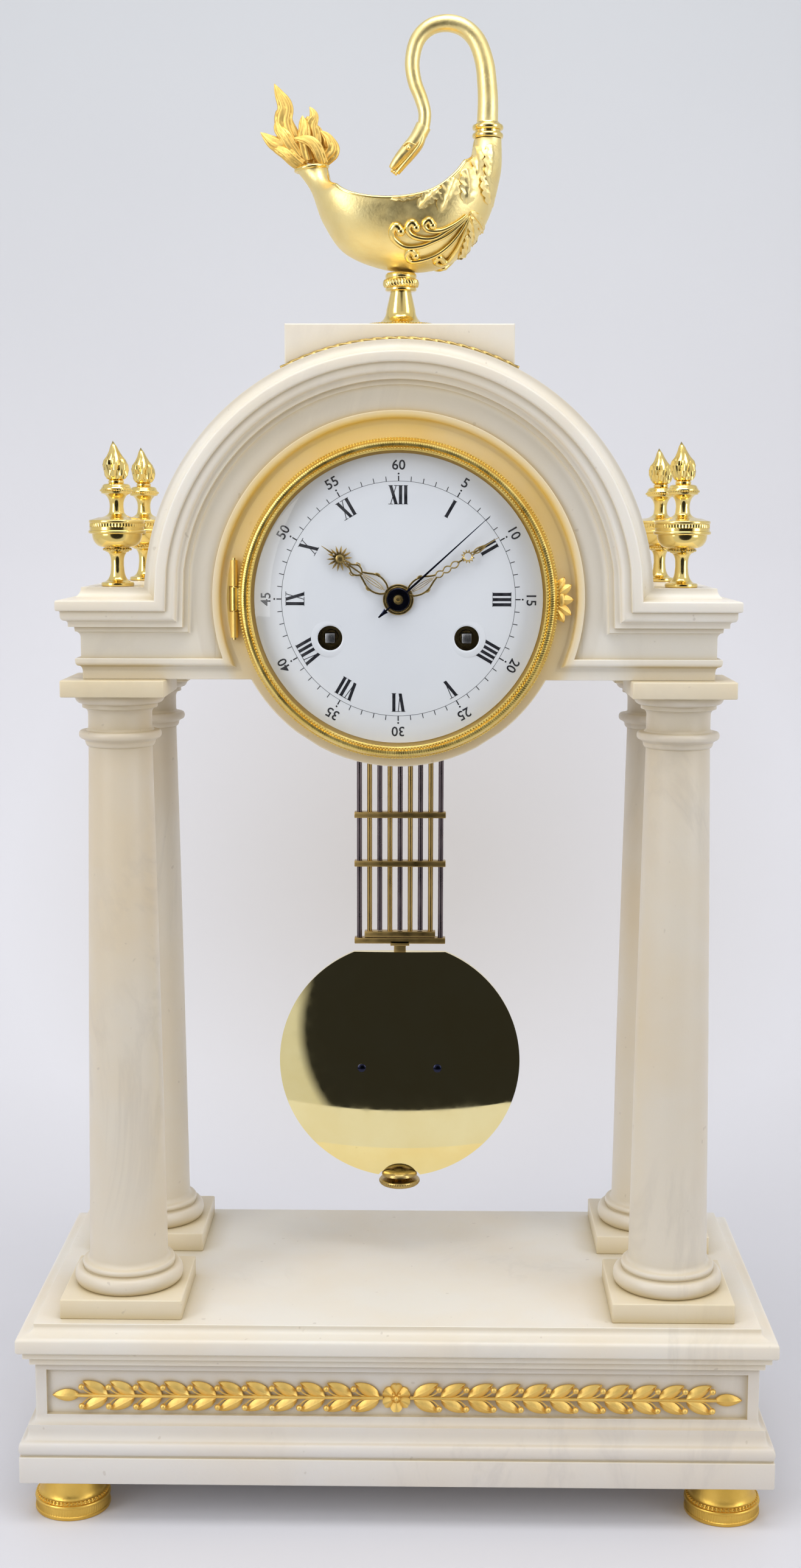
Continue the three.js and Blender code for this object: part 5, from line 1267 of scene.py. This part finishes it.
FLAME_TONGUES = [
    (
        [(-43, 0, 48), (-48.4, 0, 56.6), (-51.6, 0, 64.4), (-51.2, 0, 71), (-54, 0, 76.4), (-56.1, 0, 81.4)],
        4.9,
    ),
    ([(-41.4, -1, 47.4), (-47.4, -1.4, 52.6), (-53.6, -1, 55.4), (-58.4, -0.6, 57.4), (-62.4, 0, 60.6)], 4.3),
    ([(-38.6, 1, 47.6), (-38.8, 0.6, 56.4), (-40, 0.4, 63.2), (-38.6, 0, 67.6), (-40.6, 0, 71.6)], 4),
    ([(-35.4, 0, 46.6), (-32.6, 0, 50.4), (-30.6, 0, 54), (-32.4, 0, 58.2), (-36, 0, 61.4)], 4),
    ([(-44.6, -2.4, 49.6), (-50.2, -3, 56.4), (-53.8, -2, 61.4), (-55.2, -1, 66)], 3.4),
    ([(-40.8, -2, 48.4), (-43.2, -2.4, 57.4), (-43, -1.6, 63.4), (-43.8, -1, 67.6)], 3.4),
    ([(-34.2, -3.2, 46.8), (-36.6, -4.4, 52), (-41.4, -4.2, 56.6), (-48, -3, 57.6)], 3.2),
    ([(-43.6, -3, 46.4), (-48.4, -3.6, 49.4), (-53, -2.6, 52.6), (-57, -1.6, 54)], 3.4),
    ([(-43, 3, 48), (-47, 3.8, 56), (-49.4, 2.6, 64), (-50, 1.4, 70)], 3.6),
    ([(-37, 3, 47.4), (-35.4, 3.8, 54), (-36.4, 2.8, 60.4), (-37, 2, 64)], 3.4),
    ([(-44, 3, 46.6), (-50, 3.6, 50.8), (-55, 2.4, 54.4), (-59, 1, 58)], 3.4),
]


def lamp_flame():
    form = bmesh.new()
    for points, size in FLAME_TONGUES:
        flame_tongue(form, points, size)
    make_piece(form, "lamp_flames", "case", "gilt_matte", "lamp_flame", crease=60)


def build_lamp():
    lamp_foot()
    lamp_bowl()
    lamp_mounts()
    wing_scrolls()
    lamp_leaves()
    swan_handle()
    lamp_flame()


# Dial, bezel and hands


def dial_y(radius):
    return FACE - 1.3 - 2.2 * (1 - (radius / DIAL_RADIUS) ** 2)


def on_dial(radius, turn, proud=0.0):
    return over_dial(radius, turn, dial_y(radius) - proud)


WINDING_HOLES = ((-29.3, -16.6), (29.3, -16.6))


def dial():
    """The domed enamel plate with its centre hole and two winding holes in slightly raised lips."""
    form = bmesh.new()
    rings, steps, centre_hole, opening = 50, 120, 4.2, 6.3
    outline = [(centre_hole + (DIAL_RADIUS - centre_hole) * i / rings, True) for i in range(rings + 1)]
    outline += [(radius, False) for radius, _ in reversed(outline)]

    def place(i, j):
        radius, front = outline[i % len(outline)]
        point = on_dial(radius, FULL_TURN * (j % steps) / steps)
        return point if front else point + Vector((0, 1, 0))

    surface(form, len(outline), steps, place)
    opened = []
    for face in form.faces:
        centre = face.calc_center_median()
        if any(math.hypot(centre.x - x, centre.z - DIAL_Z - z) < opening for x, z in WINDING_HOLES):
            opened.append(face)
    bmesh.ops.delete(form, geom=opened, context="FACES")
    for x, z in WINDING_HOLES:
        level = dial_y(math.hypot(x, z))
        lip = [
            (5.3, level + 1.2), (5.3, level), (5.6, level - 0.22), (6.2, level - 0.26),
            (8.2, level + 0.12), (8.2, level + 1.2), (5.3, level + 1.2),
        ]
        turned(form, lip, 48, (x, 0, DIAL_Z + z), backwards=True)
    make_piece(form, "enamel_dial", "case", "enamel", "dial")


def flat_stroke(form, corners):
    """A thin printed stroke with its four corners given as dial points."""
    proud, sunk = 0.05, 0.02
    made = bmesh.ops.create_cube(form, size=1)
    low, high = corners[:2], corners[2:]
    for vert in made["verts"]:
        pair = high if vert.co.z > 0 else low
        x, z = pair[1] if vert.co.x > 0 else pair[0]
        lift = proud if vert.co.y < 0 else -sunk
        vert.co = Vector((x, dial_y(math.hypot(x, z)) - lift, DIAL_Z + z))


def radial(turn, across, radius):
    """A dial point by its turn from twelve, its shift clockwise and its distance from the centre."""
    return (
        radius * math.sin(turn) + across * math.cos(turn),
        radius * math.cos(turn) - across * math.sin(turn),
    )


def stroke(form, turn, from_across, from_radius, to_across, to_radius, width):
    """A straight stroke of even width, its ends square to the radius."""
    half = width / 2
    flat_stroke(form, [
        radial(turn, from_across - half, from_radius), radial(turn, from_across + half, from_radius),
        radial(turn, to_across - half, to_radius), radial(turn, to_across + half, to_radius),
    ])


ROMAN = ["I", "II", "III", "IIII", "V", "VI", "VII", "VIII", "IX", "X", "XI", "XII"]
LETTER_WIDTH = {"I": 2.2, "V": 3.7, "X": 3.9}


def hour_numeral(form, turn, numeral):
    low, high, thick, thin = 40.4, 48.2, 1.35, 0.32
    serif_width, serif_half = 1.9, 0.12
    width = sum(LETTER_WIDTH[letter] for letter in numeral)
    at = -width / 2
    for letter in numeral:
        room = LETTER_WIDTH[letter]
        middle = at + room / 2
        spread = room / 2 - thick / 2 - 0.1
        if letter == "I":
            stroke(form, turn, middle, low, middle, high, thick)
            serifs = [(middle, low), (middle, high)]
        elif letter == "V":
            stroke(form, turn, middle + 0.25, low, middle - spread, high, thick)
            stroke(form, turn, middle + 0.25, low, middle + spread, high, thin)
            serifs = [(middle - spread, high), (middle + spread, high)]
        else:
            stroke(form, turn, middle + spread, low, middle - spread, high, thick)
            stroke(form, turn, middle - spread, low, middle + spread, high, thin)
            serifs = [(middle + side * spread, end) for end in (high, low) for side in (-1, 1)]
        for across, radius in serifs:
            stroke(form, turn, across, radius - serif_half, across, radius + serif_half, serif_width)
        at += room


def minute_number(form, turn, text):
    """An Arabic number whose top points outwards."""
    curve = bpy.data.curves.new("minute number", "FONT")
    curve.body = text
    curve.size = 5.9
    curve.align_x = "CENTER"
    curve.align_y = "CENTER"
    curve.extrude = 0.03
    curve.offset = 0.07
    curve.resolution_u = 3
    lettering = bpy.data.objects.new("minute number", curve)
    bpy.context.scene.collection.objects.link(lettering)
    view = bpy.context.evaluated_depsgraph_get()
    flat = bpy.data.meshes.new_from_object(lettering.evaluated_get(view))
    earlier = set(form.verts)
    form.from_mesh(flat)
    circle = 56.7
    for vert in set(form.verts) - earlier:
        x, z = radial(turn, vert.co.x, circle + vert.co.y)
        vert.co = Vector((x, dial_y(math.hypot(x, z)) - 0.02 - vert.co.z, DIAL_Z + z))
    bpy.data.objects.remove(lettering)
    bpy.data.curves.remove(curve)
    bpy.data.meshes.remove(flat)


def thin_circle(form, radius, width):
    steps = 180
    section = [(-width / 2, -0.02), (-width / 2, 0.04), (width / 2, 0.04), (width / 2, -0.02)]

    def place(i, j):
        out, proud = section[i % 4]
        return on_dial(radius + out, FULL_TURN * (j % steps) / steps, proud)

    surface(form, 4, steps, place)


def dial_print():
    """Hours, minutes and their ring."""
    form = bmesh.new()
    track = 50.2
    for hour, numeral in enumerate(ROMAN, 1):
        hour_numeral(form, math.radians(30 * hour), numeral)
    for minute in range(60):
        turn = math.radians(6 * minute)
        if minute % 5 == 0:
            stroke(form, turn, 0, track, 0, 52.3, 0.5)
            ball(form, on_dial(53.2, turn), 0.42, (1, 0.2, 1))
            minute_number(form, turn, str(minute or 60))
        else:
            stroke(form, turn, 0, track, 0, 52.2, 0.32)
    thin_circle(form, 50.1, 0.16)
    make_piece(form, "dial_numbers", "case", "enamel", finish=BLACK_PRINT)


def hinge_half(form, x, y, leaf_end):
    """The knuckle of a door on its upright pin, with the leaf that joins it to the door."""
    knuckle = [(0, -5.15), (1.4, -5.15), (1.6, -4.95), (1.6, 4.95), (1.4, 5.15), (0, 5.15)]
    turned(form, knuckle, 24, (x, y, DIAL_Z))
    eased_box(form, (x, y - 0.9, DIAL_Z - 4.5), (leaf_end, y + 0.9, DIAL_Z + 4.5), 0.2)


def bezel():
    """A gilt ring with a ribbed crest between two rows of beads."""
    form = bmesh.new()
    front = FACE - 9.5
    outline = Moulding(68.2, FACE - 0.3).to(68.4, FACE - 3.6).to(68.0, FACE - 4.2).to(67.8, FACE - 5.6)
    outline.to(67.4, FACE - 6.6).to(66.9, front + 1.2)
    first_rib = len(outline.points)
    outline.to(66.5, front + 0.5).to(65.6, front + 0.15).to(64.7, front + 0.35)
    last_rib = len(outline.points) - 1
    outline.to(64.4, front + 1).to(64.1, front + 1.3).to(63.3, front + 1.1).to(62.9, front + 1.6)
    outline.to(62.9, FACE - 7.2).to(64.3, FACE - 7.2).to(64.3, FACE - 0.3).to(68.2, FACE - 0.3)
    ribs = 420
    ribbing = milled(ribs, 0.14, first_rib, last_rib)
    turned(form, outline.points, ribs * 3, DIAL_CENTRE, backwards=True, ripple=ribbing)
    bead_ring(form, 68, 330, 0.55, (0, FACE - 4.9, DIAL_Z), backwards=True)
    bead_ring(form, 63.7, 300, 0.55, (0, front + 0.95, DIAL_Z), backwards=True)
    hinge_half(form, -70.4, FACE - 2.1, -66.4)
    make_piece(form, "beaded_bezel", "bezel_door", "gilt_matte", "bezel", finish=BEZEL_GILT)


def bezel_glass():
    form = bmesh.new()
    edge, rise, radius, thick, steps = FACE - 7, 7.5, 62.3, 1.5, 32

    def dome(share, inset):
        return share * (radius - inset), edge + inset - rise * (1 - share**3.5)

    outline = [dome(i / steps, 0) for i in range(steps + 1)]
    outline += [(64, edge), (64, edge + thick)]
    outline += [dome(i / steps, thick) for i in range(steps, -1, -1)]
    turned(form, outline, 120, DIAL_CENTRE, backwards=True)
    make_piece(form, "domed_glass", "bezel_door", "glass_clear", "bezel_glass", crease=40)


def thumb_catch():
    """A small palmette beside the bezel."""
    form = bmesh.new()
    back = FACE - 2.9
    for turn, length, width in ((-62, 7.4, 4), (-34, 8, 4.2), (0, 7.6, 4.6), (34, 8, 4.2), (62, 7.4, 4)):
        slope = math.radians(turn)
        seat = leaf_seat(67.4, back - 0.4, DIAL_Z + 3.6 * math.sin(slope), slope, reach=74.9)
        leaf_blade(form, seat, length, width, 1.5, curl=0.4)
    ball(form, (69.6, back - 0.9, DIAL_Z), 2.2, (0.8, 0.7, 1.5))
    make_piece(form, "palmette_catch", "bezel_door", "gilt_matte", "thumb_catch")


class Hand:
    """Draws in (across, along) of a hand that points away from the dial's centre."""

    def __init__(self, degrees, y):
        self.form = bmesh.new()
        self.turn = math.radians(degrees)
        self.y = y

    def place(self, across, along, proud=0.0):
        x, z = radial(self.turn, across, along)
        return Vector((x, self.y - proud, DIAL_Z + z))

    def wire(self, points, thick, taper=False):
        path = [self.place(across, along, 0.2) for across, along in points]
        thinning = 0.8 if taper else 0
        spline_tube(self.form, path, lambda share: (thick * (1 - thinning * share), 0.24), 8, 5 * len(points))

    def pair(self, points, thick):
        """The same curved wire on both sides of the middle."""
        self.wire(points, thick)
        self.wire([(-across, along) for across, along in points], thick)

    def disc(self, outline, along=0.0):
        """Turns (radius, height) points, the height towards the viewer."""
        forwards = [(radius, -height) for radius, height in outline]
        turned(self.form, forwards, 48, self.place(0, along), backwards=True)

    def star(self, along, inner, outer, rays):
        """Rays round an open middle."""
        steps = rays * 4

        def put(i, j):
            turn = FULL_TURN * (j % steps) / steps
            point = 1 - abs((j % 4) - 2) / 2
            reach = inner + (outer - inner) * (0.25 + 0.75 * point)
            crest = ((inner + reach) / 2, 0.55 + 0.3 * point)
            radius, lift = [(inner, 0), (inner, 0.45), crest, (reach, 0.1)][i % 4]
            return self.place(radius * math.sin(turn), along + radius * math.cos(turn), lift)

        surface(self.form, 4, steps, put)


def hour_hand():
    """Pierced scrolls, a ray boss and a short point."""
    hand = Hand(-55.3, FACE - 4.5)
    hand.disc([(3.5, 0), (6.2, 0), (6.6, 0.2), (6.4, 0.45), (4.6, 0.5), (3.5, 0.45), (3.5, 0)])
    hand.pair([(1.2, 6.2), (2.6, 8), (3.5, 11), (3.2, 14), (1.8, 17), (0.7, 19.4)], 0.42)
    hand.pair([(3.4, 11.5), (4.1, 13), (3.6, 14.2), (2.9, 13.6)], 0.3)
    hand.pair([(0.4, 8), (0.9, 11), (1, 14), (0.5, 18)], 0.16)
    hand.wire([(0, 7), (0, 19)], 0.16)
    hand.pair([(0.4, 19), (1.8, 20.6), (2.1, 22.6), (1, 24.6), (0.5, 26)], 0.38)
    hand.pair([(1.9, 21), (2.9, 22), (2.7, 23.4), (2, 23.2)], 0.26)
    hand.wire([(0, 18.6), (0, 27)], 0.36)
    hand.star(30.5, 1.2, 5.6, 14)
    hand.disc([(0, 0), (1.7, 0), (1.7, 0.5), (1.1, 0.8), (0, 0.9)], 30.5)
    hand.wire([(0, 34), (0, 37), (0, 39.9)], 0.5, taper=True)
    make_piece(hand.form, "pierced_hour_hand", "hour_work", "gilt_matte", "hour_hand", finish=HAND_GILT)


def minute_hand():
    """Pierced scrolls, three narrow links, a small ray boss and a long point."""
    hand = Hand(58.2, FACE - 5.4)
    hand.disc([(2.4, 0), (5.2, 0), (5.6, 0.2), (5.4, 0.45), (3.6, 0.5), (2.4, 0.45), (2.4, 0)])
    hand.pair([(1.1, 5.2), (2.5, 7.2), (3.3, 10.4), (2.9, 13.6), (1.4, 16.8), (0.5, 19)], 0.4)
    hand.pair([(3.1, 11), (3.8, 12.6), (3.3, 13.8), (2.6, 13.2)], 0.28)
    hand.pair([(0.4, 7), (0.8, 10), (0.8, 13), (0.4, 17)], 0.15)
    hand.wire([(0, 6), (0, 18)], 0.15)
    for foot in (18.6, 22.4, 26.2):
        hand.pair([(0.3, foot), (1.2, foot + 1.4), (1.2, foot + 2.6), (0.3, foot + 4)], 0.3)
    hand.wire([(0, 29.6), (0, 32.6)], 0.4)
    hand.star(34.8, 1.5, 3.1, 12)
    hand.pair([(0.2, 37.4), (0.9, 39.4), (0.7, 41.6), (0.2, 43.6)], 0.3)
    hand.wire([(0, 37.6), (0, 44), (0, 50.4)], 0.42, taper=True)
    make_piece(hand.form, "pierced_minute_hand", "minute_work", "gilt_matte", "minute_hand", finish=HAND_GILT)


def seconds_hand():
    """A blued needle with an arrow for a tail, on a blued disc with a brass boss."""
    hand = Hand(47.7, FACE - 6.3)
    hand.wire([(0, 2), (0, 30), (0, 52.7)], 0.55, taper=True)
    hand.wire([(0, -2), (0, -8)], 0.4)
    hand.wire([(0, -7), (0, -8.4), (0, -11.4)], 1.3, taper=True)
    hand.disc([(2, 0), (4.6, 0), (4.9, 0.2), (4.6, 0.5), (2.6, 0.62), (2, 0.5), (2, 0)])
    make_piece(
        hand.form, "blued_seconds_hand", "seconds_work", "steel_dark", "seconds_hand", finish=BLUED_STEEL
    )
    boss = Hand(47.7, FACE - 6.3)
    boss.disc([(0, 0.1), (2.2, 0.1), (2.2, 0.8), (1.9, 1.8), (1, 1.95), (0.8, 1.7), (0, 1.65)])
    make_piece(boss.form, "seconds_boss", "seconds_work", "brass")


def winding_squares():
    """Bright steel ends of the winding arbors, in the two holes of the dial."""
    half = 2.05
    for barrel, drum in (("going_barrel", "going_drum"), ("strike_barrel", "strike_drum")):
        form = bmesh.new()
        low, high = (Vector(corner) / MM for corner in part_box(barrel))
        x, z = (low.x + high.x) / 2, (low.z + high.z) / 2
        eased_box(form, (x - half, low.y - 0.05, z - half), (x + half, low.y + 5, z + half))
        train = barrel.split("_")[0]
        make_piece(form, f"winding_square_{train}", drum, "steel_dark", finish=SQUARE_STEEL)


def build_dial():
    dial()
    winding_squares()
    dial_print()
    bezel()
    bezel_glass()
    thumb_catch()
    hour_hand()
    minute_hand()
    seconds_hand()


# Pendulum

ROD_PITCH, ROD_RADIUS = 4.77, 1.2
BOB_Z, BOB_RADIUS = SUSPENSION_Z - 266.8, 57


def hung(drop):
    """The level at a drop below the suspension."""
    return SUSPENSION_Z - drop


def rod(form, place, top_drop, foot_drop):
    """A round rod, its place counted from the middle one."""
    top, foot = hung(top_drop), hung(foot_drop)
    outline = [(0, foot), (ROD_RADIUS, foot), (ROD_RADIUS, top), (0, top)]
    turned(form, outline, 20, (place * ROD_PITCH, PENDULUM_Y, 0))


def hung_box(form, half_width, half_depth, top_drop, foot_drop, ease):
    eased_box(
        form, (-half_width, PENDULUM_Y - half_depth, hung(foot_drop)),
        (half_width, PENDULUM_Y + half_depth, hung(top_drop)), ease,
    )


def cross_bar(form, half_width, drop, half_depth=2.4):
    hung_box(form, half_width, half_depth, drop - 1.4, drop + 1.4, 0.35)


def gridiron():
    """Five steel rods and four brass ones between cross bars, so that their lengthening cancels out."""
    top_bar, foot_bar, brass_foot, wide = 64, 208.5, 205.4, 21.4
    steel = bmesh.new()
    for place in (-4, 4):
        rod(steel, place, top_bar, foot_bar)
    for place in (-2, 0, 2):
        rod(steel, place, top_bar, 203.6)
    cross_bar(steel, wide, top_bar)
    hung_box(steel, 3, 2, 4, 16, 0.3)
    rod(steel, 0, 10, top_bar)
    rod(steel, 0, 210, 325)
    make_piece(steel, "steel_rods", "pendulum", "steel_dark", "gridiron_steel", finish=ROD_STEEL)
    neck = bmesh.new()
    cross_bar(neck, wide, foot_bar)
    hung_box(neck, 4.5, 2.4, foot_bar, 210.9, 0.3)
    hung_box(neck, 2.8, 1.8, 209, 214.4, 0.3)
    make_piece(neck, "foot_bar_and_neck", "pendulum", "brass", finish=AGED_BRASS)
    brass = bmesh.new()
    for place in (-3, -1, 1, 3):
        rod(brass, place, 65.7, brass_foot)
    cross_bar(brass, 16.65, brass_foot)
    for drop in (148.6, 171.7):
        cross_bar(brass, wide, drop, 2.6)
    make_piece(brass, "brass_rods", "pendulum", "brass", "gridiron_brass", finish=AGED_BRASS)


def bob_half(radius):
    """Half the bob's thickness at a distance from its middle."""
    return 1.2 + 5.8 * (1 - (radius / BOB_RADIUS) ** 2)


def bob_reach(turn):
    """The bob's edge at a turn from its foot, with the notch for the rating nut."""
    half_notch, notch_rise, notch_radius, foot_level = 9.2, 5.4, 52, 57.3
    x = notch_radius * math.sin(turn)
    if math.cos(turn) < 0 or abs(x) >= half_notch:
        return BOB_RADIUS
    level = foot_level - notch_rise * (1 - (x / half_notch) ** 2) ** 0.5
    return min(BOB_RADIUS, level / math.cos(turn))


def bob():
    """The polished lens, a little flat on top, with finer steps round its notch."""
    form = bmesh.new()
    rings, flat_top = 24, 52.8
    near_notch = (1, 2, 3, 4, 6, 8, 9, 9.6, 10.2)
    turns = {math.radians(2.5 * i) for i in range(-72, 72)}
    turns |= {math.radians(side * degrees) for side in (-1, 1) for degrees in near_notch}
    turns = sorted(turns)

    def place(i, j):
        turn = turns[j % len(turns)]
        reach = bob_reach(turn)
        share = min(i, 2 * rings + 1 - i) / rings
        radius = share * reach
        side = -1 if i <= rings else 1
        y = PENDULUM_Y + side * bob_half(radius)
        return Vector((radius * math.sin(turn), y, BOB_Z - radius * math.cos(turn)))

    surface(form, 2 * rings + 1, len(turns), place)
    bmesh.ops.remove_doubles(form, verts=form.verts, dist=WELD)
    bmesh.ops.bisect_plane(
        form, geom=[*form.verts, *form.edges, *form.faces], dist=0.0001,
        plane_co=(0, 0, BOB_Z + flat_top), plane_no=(0, 0, 1), clear_outer=True,
    )
    close_holes(form)
    make_piece(form, "lens_bob", "pendulum", "brass_polished", "pendulum_bob", crease=25)


def bob_screws():
    """The two blued screws in the face of the bob."""
    form = bmesh.new()
    for side in (-1, 1):
        x, below = side * 17.9, 2.2
        y, z = PENDULUM_Y - bob_half(math.hypot(x, below)), BOB_Z - below
        head = [(0, y + 1), (2, y + 1), (2, y - 0.3), (1.6, y - 0.6), (0, y - 0.7)]
        turned(form, head, 24, (x, 0, z), backwards=True)
        eased_box(form, (x - 1.7, y - 0.78, z - 0.2), (x + 1.7, y - 0.5, z + 0.2), 0)
    make_piece(form, "bob_screws", "pendulum", "steel_dark", finish=BLUED_STEEL)


def rating_nut():
    """The milled nut under the bob, with a dome that seats in the bob's notch."""
    form = bmesh.new()
    foot = SUSPENSION_Z - 328.1
    outline = Moulding(0, foot).to(6, foot).sideways(9.5, foot + 1.5, 5)
    first_milled = len(outline.points)
    outline.to(9.6, foot + 1.7).to(9.6, foot + 2.5)
    last_milled = len(outline.points) - 1
    outline.to(9.5, foot + 2.7).lengthways(8.4, foot + 3.3, 3).sideways(4, foot + 4.6, 5).to(3.8, foot + 5)
    outline.to(8.3, foot + 5.1).to(8.5, foot + 5.3).lengthways(4.2, foot + 8.1, 8)
    outline.to(1.5, foot + 8.9).to(0, foot + 8.9)
    teeth = 56
    milling = milled(teeth, 0.15, first_milled, last_milled)
    turned(form, outline.points, teeth * 3, (0, PENDULUM_Y, 0), ripple=milling)
    make_piece(form, "milled_rating_nut", "rating", "brass", "rating_nut")


def build_pendulum():
    gridiron()
    bob()
    bob_screws()
    rating_nut()


# Back of the clock


def rear_door():
    """A round brass door with a rounded rim."""
    form = bmesh.new()
    back = HEAD_HALF_Y
    section = [
        (0, 1.7), (56, 1.7), (56, 0.3), (64, 0.3), (64, 2.2), (63.6, 3),
        (62.6, 4), (61, 4.2), (58.4, 4.2), (57.4, 3.8), (56.4, 2.9), (0, 2.9),
    ]
    outline = [(radius, back + proud) for radius, proud in section]
    turned(form, outline, 120, DIAL_CENTRE, backwards=True)
    hinge_half(form, -65.9, back + 2.1, -62)
    make_piece(form, "brass_back_door", "back_door", "brass", "rear_door")


def finish_cad_nodes():
    """Gives every CAD node the finish of its slot in the record."""
    for part in frame["record"]["subparts"]:
        node = frame["nodes"][part["node"]]
        for slot in node.material_slots:
            slot.material = FINISHES[part["material_slot"]]


# Stage, world and lamps


def pale_paper():
    """Paper that is a little darker low down, with painted shade high up and a painted shadow of the clock
    behind the portico, and clear from the back.
    """
    recipe = Recipe("pale paper")
    apart = recipe.add("ShaderNodeSeparateXYZ")
    recipe.link(recipe.place, apart.inputs[0])
    # Darker low down, and painted shade towards the top.
    tone_and_shade_by_height = recipe.ramp(
        apart.outputs["Z"],
        (0.0, (0.68, 0.68, 0.72)), (0.06, (0.74, 0.74, 0.78)),
        (0.4, (0.76, 0.76, 0.8)), (0.85, (0.63, 0.65, 0.68)),
    )
    # Painted shadow: a darker warm patch where the clock shades the paper behind the portico.
    from_middle = recipe.add("ShaderNodeVectorMath", operation="DISTANCE")
    recipe.link(recipe.place, from_middle.inputs[0])
    from_middle.inputs[1].default_value = (0, 0.56, 0.18)
    painted_clock_shadow = recipe.ramp(from_middle.outputs["Value"], (0.04, 1.0), (0.3, 0.0))
    shaded = recipe.mix(painted_clock_shadow, tone_and_shade_by_height, (0.58, 0.555, 0.54))
    cloud = recipe.ramp(recipe.noise(3, 2), (0.3, (0.97, 0.97, 0.97)), (0.7, (1.0, 1.0, 1.0)))
    recipe.colour(recipe.mix(1.0, shaded, cloud, "MULTIPLY"))
    recipe.shader.inputs["Roughness"].default_value = 0.7
    from_back = recipe.add("ShaderNodeNewGeometry").outputs["Backfacing"]
    recipe.overlay(from_back, recipe.shader, recipe.add("ShaderNodeBsdfTransparent"))
    return recipe.material


def sweep_of_paper():
    """A pale table top that curves up behind the clock."""
    form = bmesh.new()
    outline = Moulding(-330, 0).to(250, 0).sideways(620, 420, 14).to(620, 1900)
    width, across = 2400, 4

    def place(i, j):
        y, z = outline.points[i]
        return Vector((width * (j / across - 0.5), y, z))

    surface(form, len(outline.points) - 1, across, place)
    form.normal_update()
    if min(form.faces, key=lambda face: face.calc_center_median().y).normal.z < 0:
        bmesh.ops.reverse_faces(form, faces=form.faces)
    paper = set_down(form, "paper sweep", pale_paper())


def studio_world():
    """An even pale room. What the clock mirrors is dark straight ahead of it, where the camera stands."""
    world = bpy.data.worlds.new("studio")
    bpy.context.scene.world = world
    world.use_nodes = True
    tree = world.node_tree
    background = tree.nodes["Background"]
    direction = tree.nodes.new("ShaderNodeTexCoord")
    ahead = tree.nodes.new("ShaderNodeVectorMath")
    ahead.operation = "DOT_PRODUCT"
    ahead.inputs[1].default_value = (0.138, -0.981, -0.139)
    tree.links.new(direction.outputs["Generated"], ahead.inputs[0])
    ramp = tree.nodes.new("ShaderNodeValToRGB")
    stops = ((0.855, 0.95), (0.875, 0.035))
    for element, (position, grey) in zip(ramp.color_ramp.elements, stops):
        element.position = position
        element.color = (grey, grey, grey * 1.02, 1)
    seen = tree.nodes.new("ShaderNodeLightPath")
    unseen = tree.nodes.new("ShaderNodeMath")
    unseen.operation = "SUBTRACT"
    unseen.inputs[0].default_value = 1
    tree.links.new(seen.outputs["Is Camera Ray"], unseen.inputs[1])
    dark = tree.nodes.new("ShaderNodeMath")
    dark.operation = "MULTIPLY"
    tree.links.new(ahead.outputs["Value"], dark.inputs[0])
    tree.links.new(unseen.outputs[0], dark.inputs[1])
    tree.links.new(dark.outputs[0], ramp.inputs["Fac"])
    tree.links.new(ramp.outputs["Color"], background.inputs["Color"])
    background.inputs["Strength"].default_value = 0.7


def soft_box(name, place, aim, size, power):
    lamp = bpy.data.lights.new(name, "AREA")
    lamp.shape = "RECTANGLE"
    lamp.size, lamp.size_y = size
    lamp.energy = power
    holder = bpy.data.objects.new(name, lamp)
    holder.location = place
    holder.rotation_euler = (Vector(aim) - Vector(place)).to_track_quat("-Z", "Y").to_euler()
    bpy.context.scene.collection.objects.link(holder)


build_base()
build_columns()
build_head()
build_lamp()
build_dial()
build_pendulum()
rear_door()
finish_cad_nodes()
sweep_of_paper()
studio_world()
soft_box("left soft box", (-1.0, -0.9, 0.75), (0, 0, 0.33), (0.5, 1.1), 6.6)
soft_box("right soft box", (1.15, -0.7, 0.7), (0, 0, 0.33), (0.5, 1.1), 5.2)
soft_box("overhead soft box", (0.0, -0.35, 1.5), (0, 0, 0.3), (1.0, 0.6), 7.2)
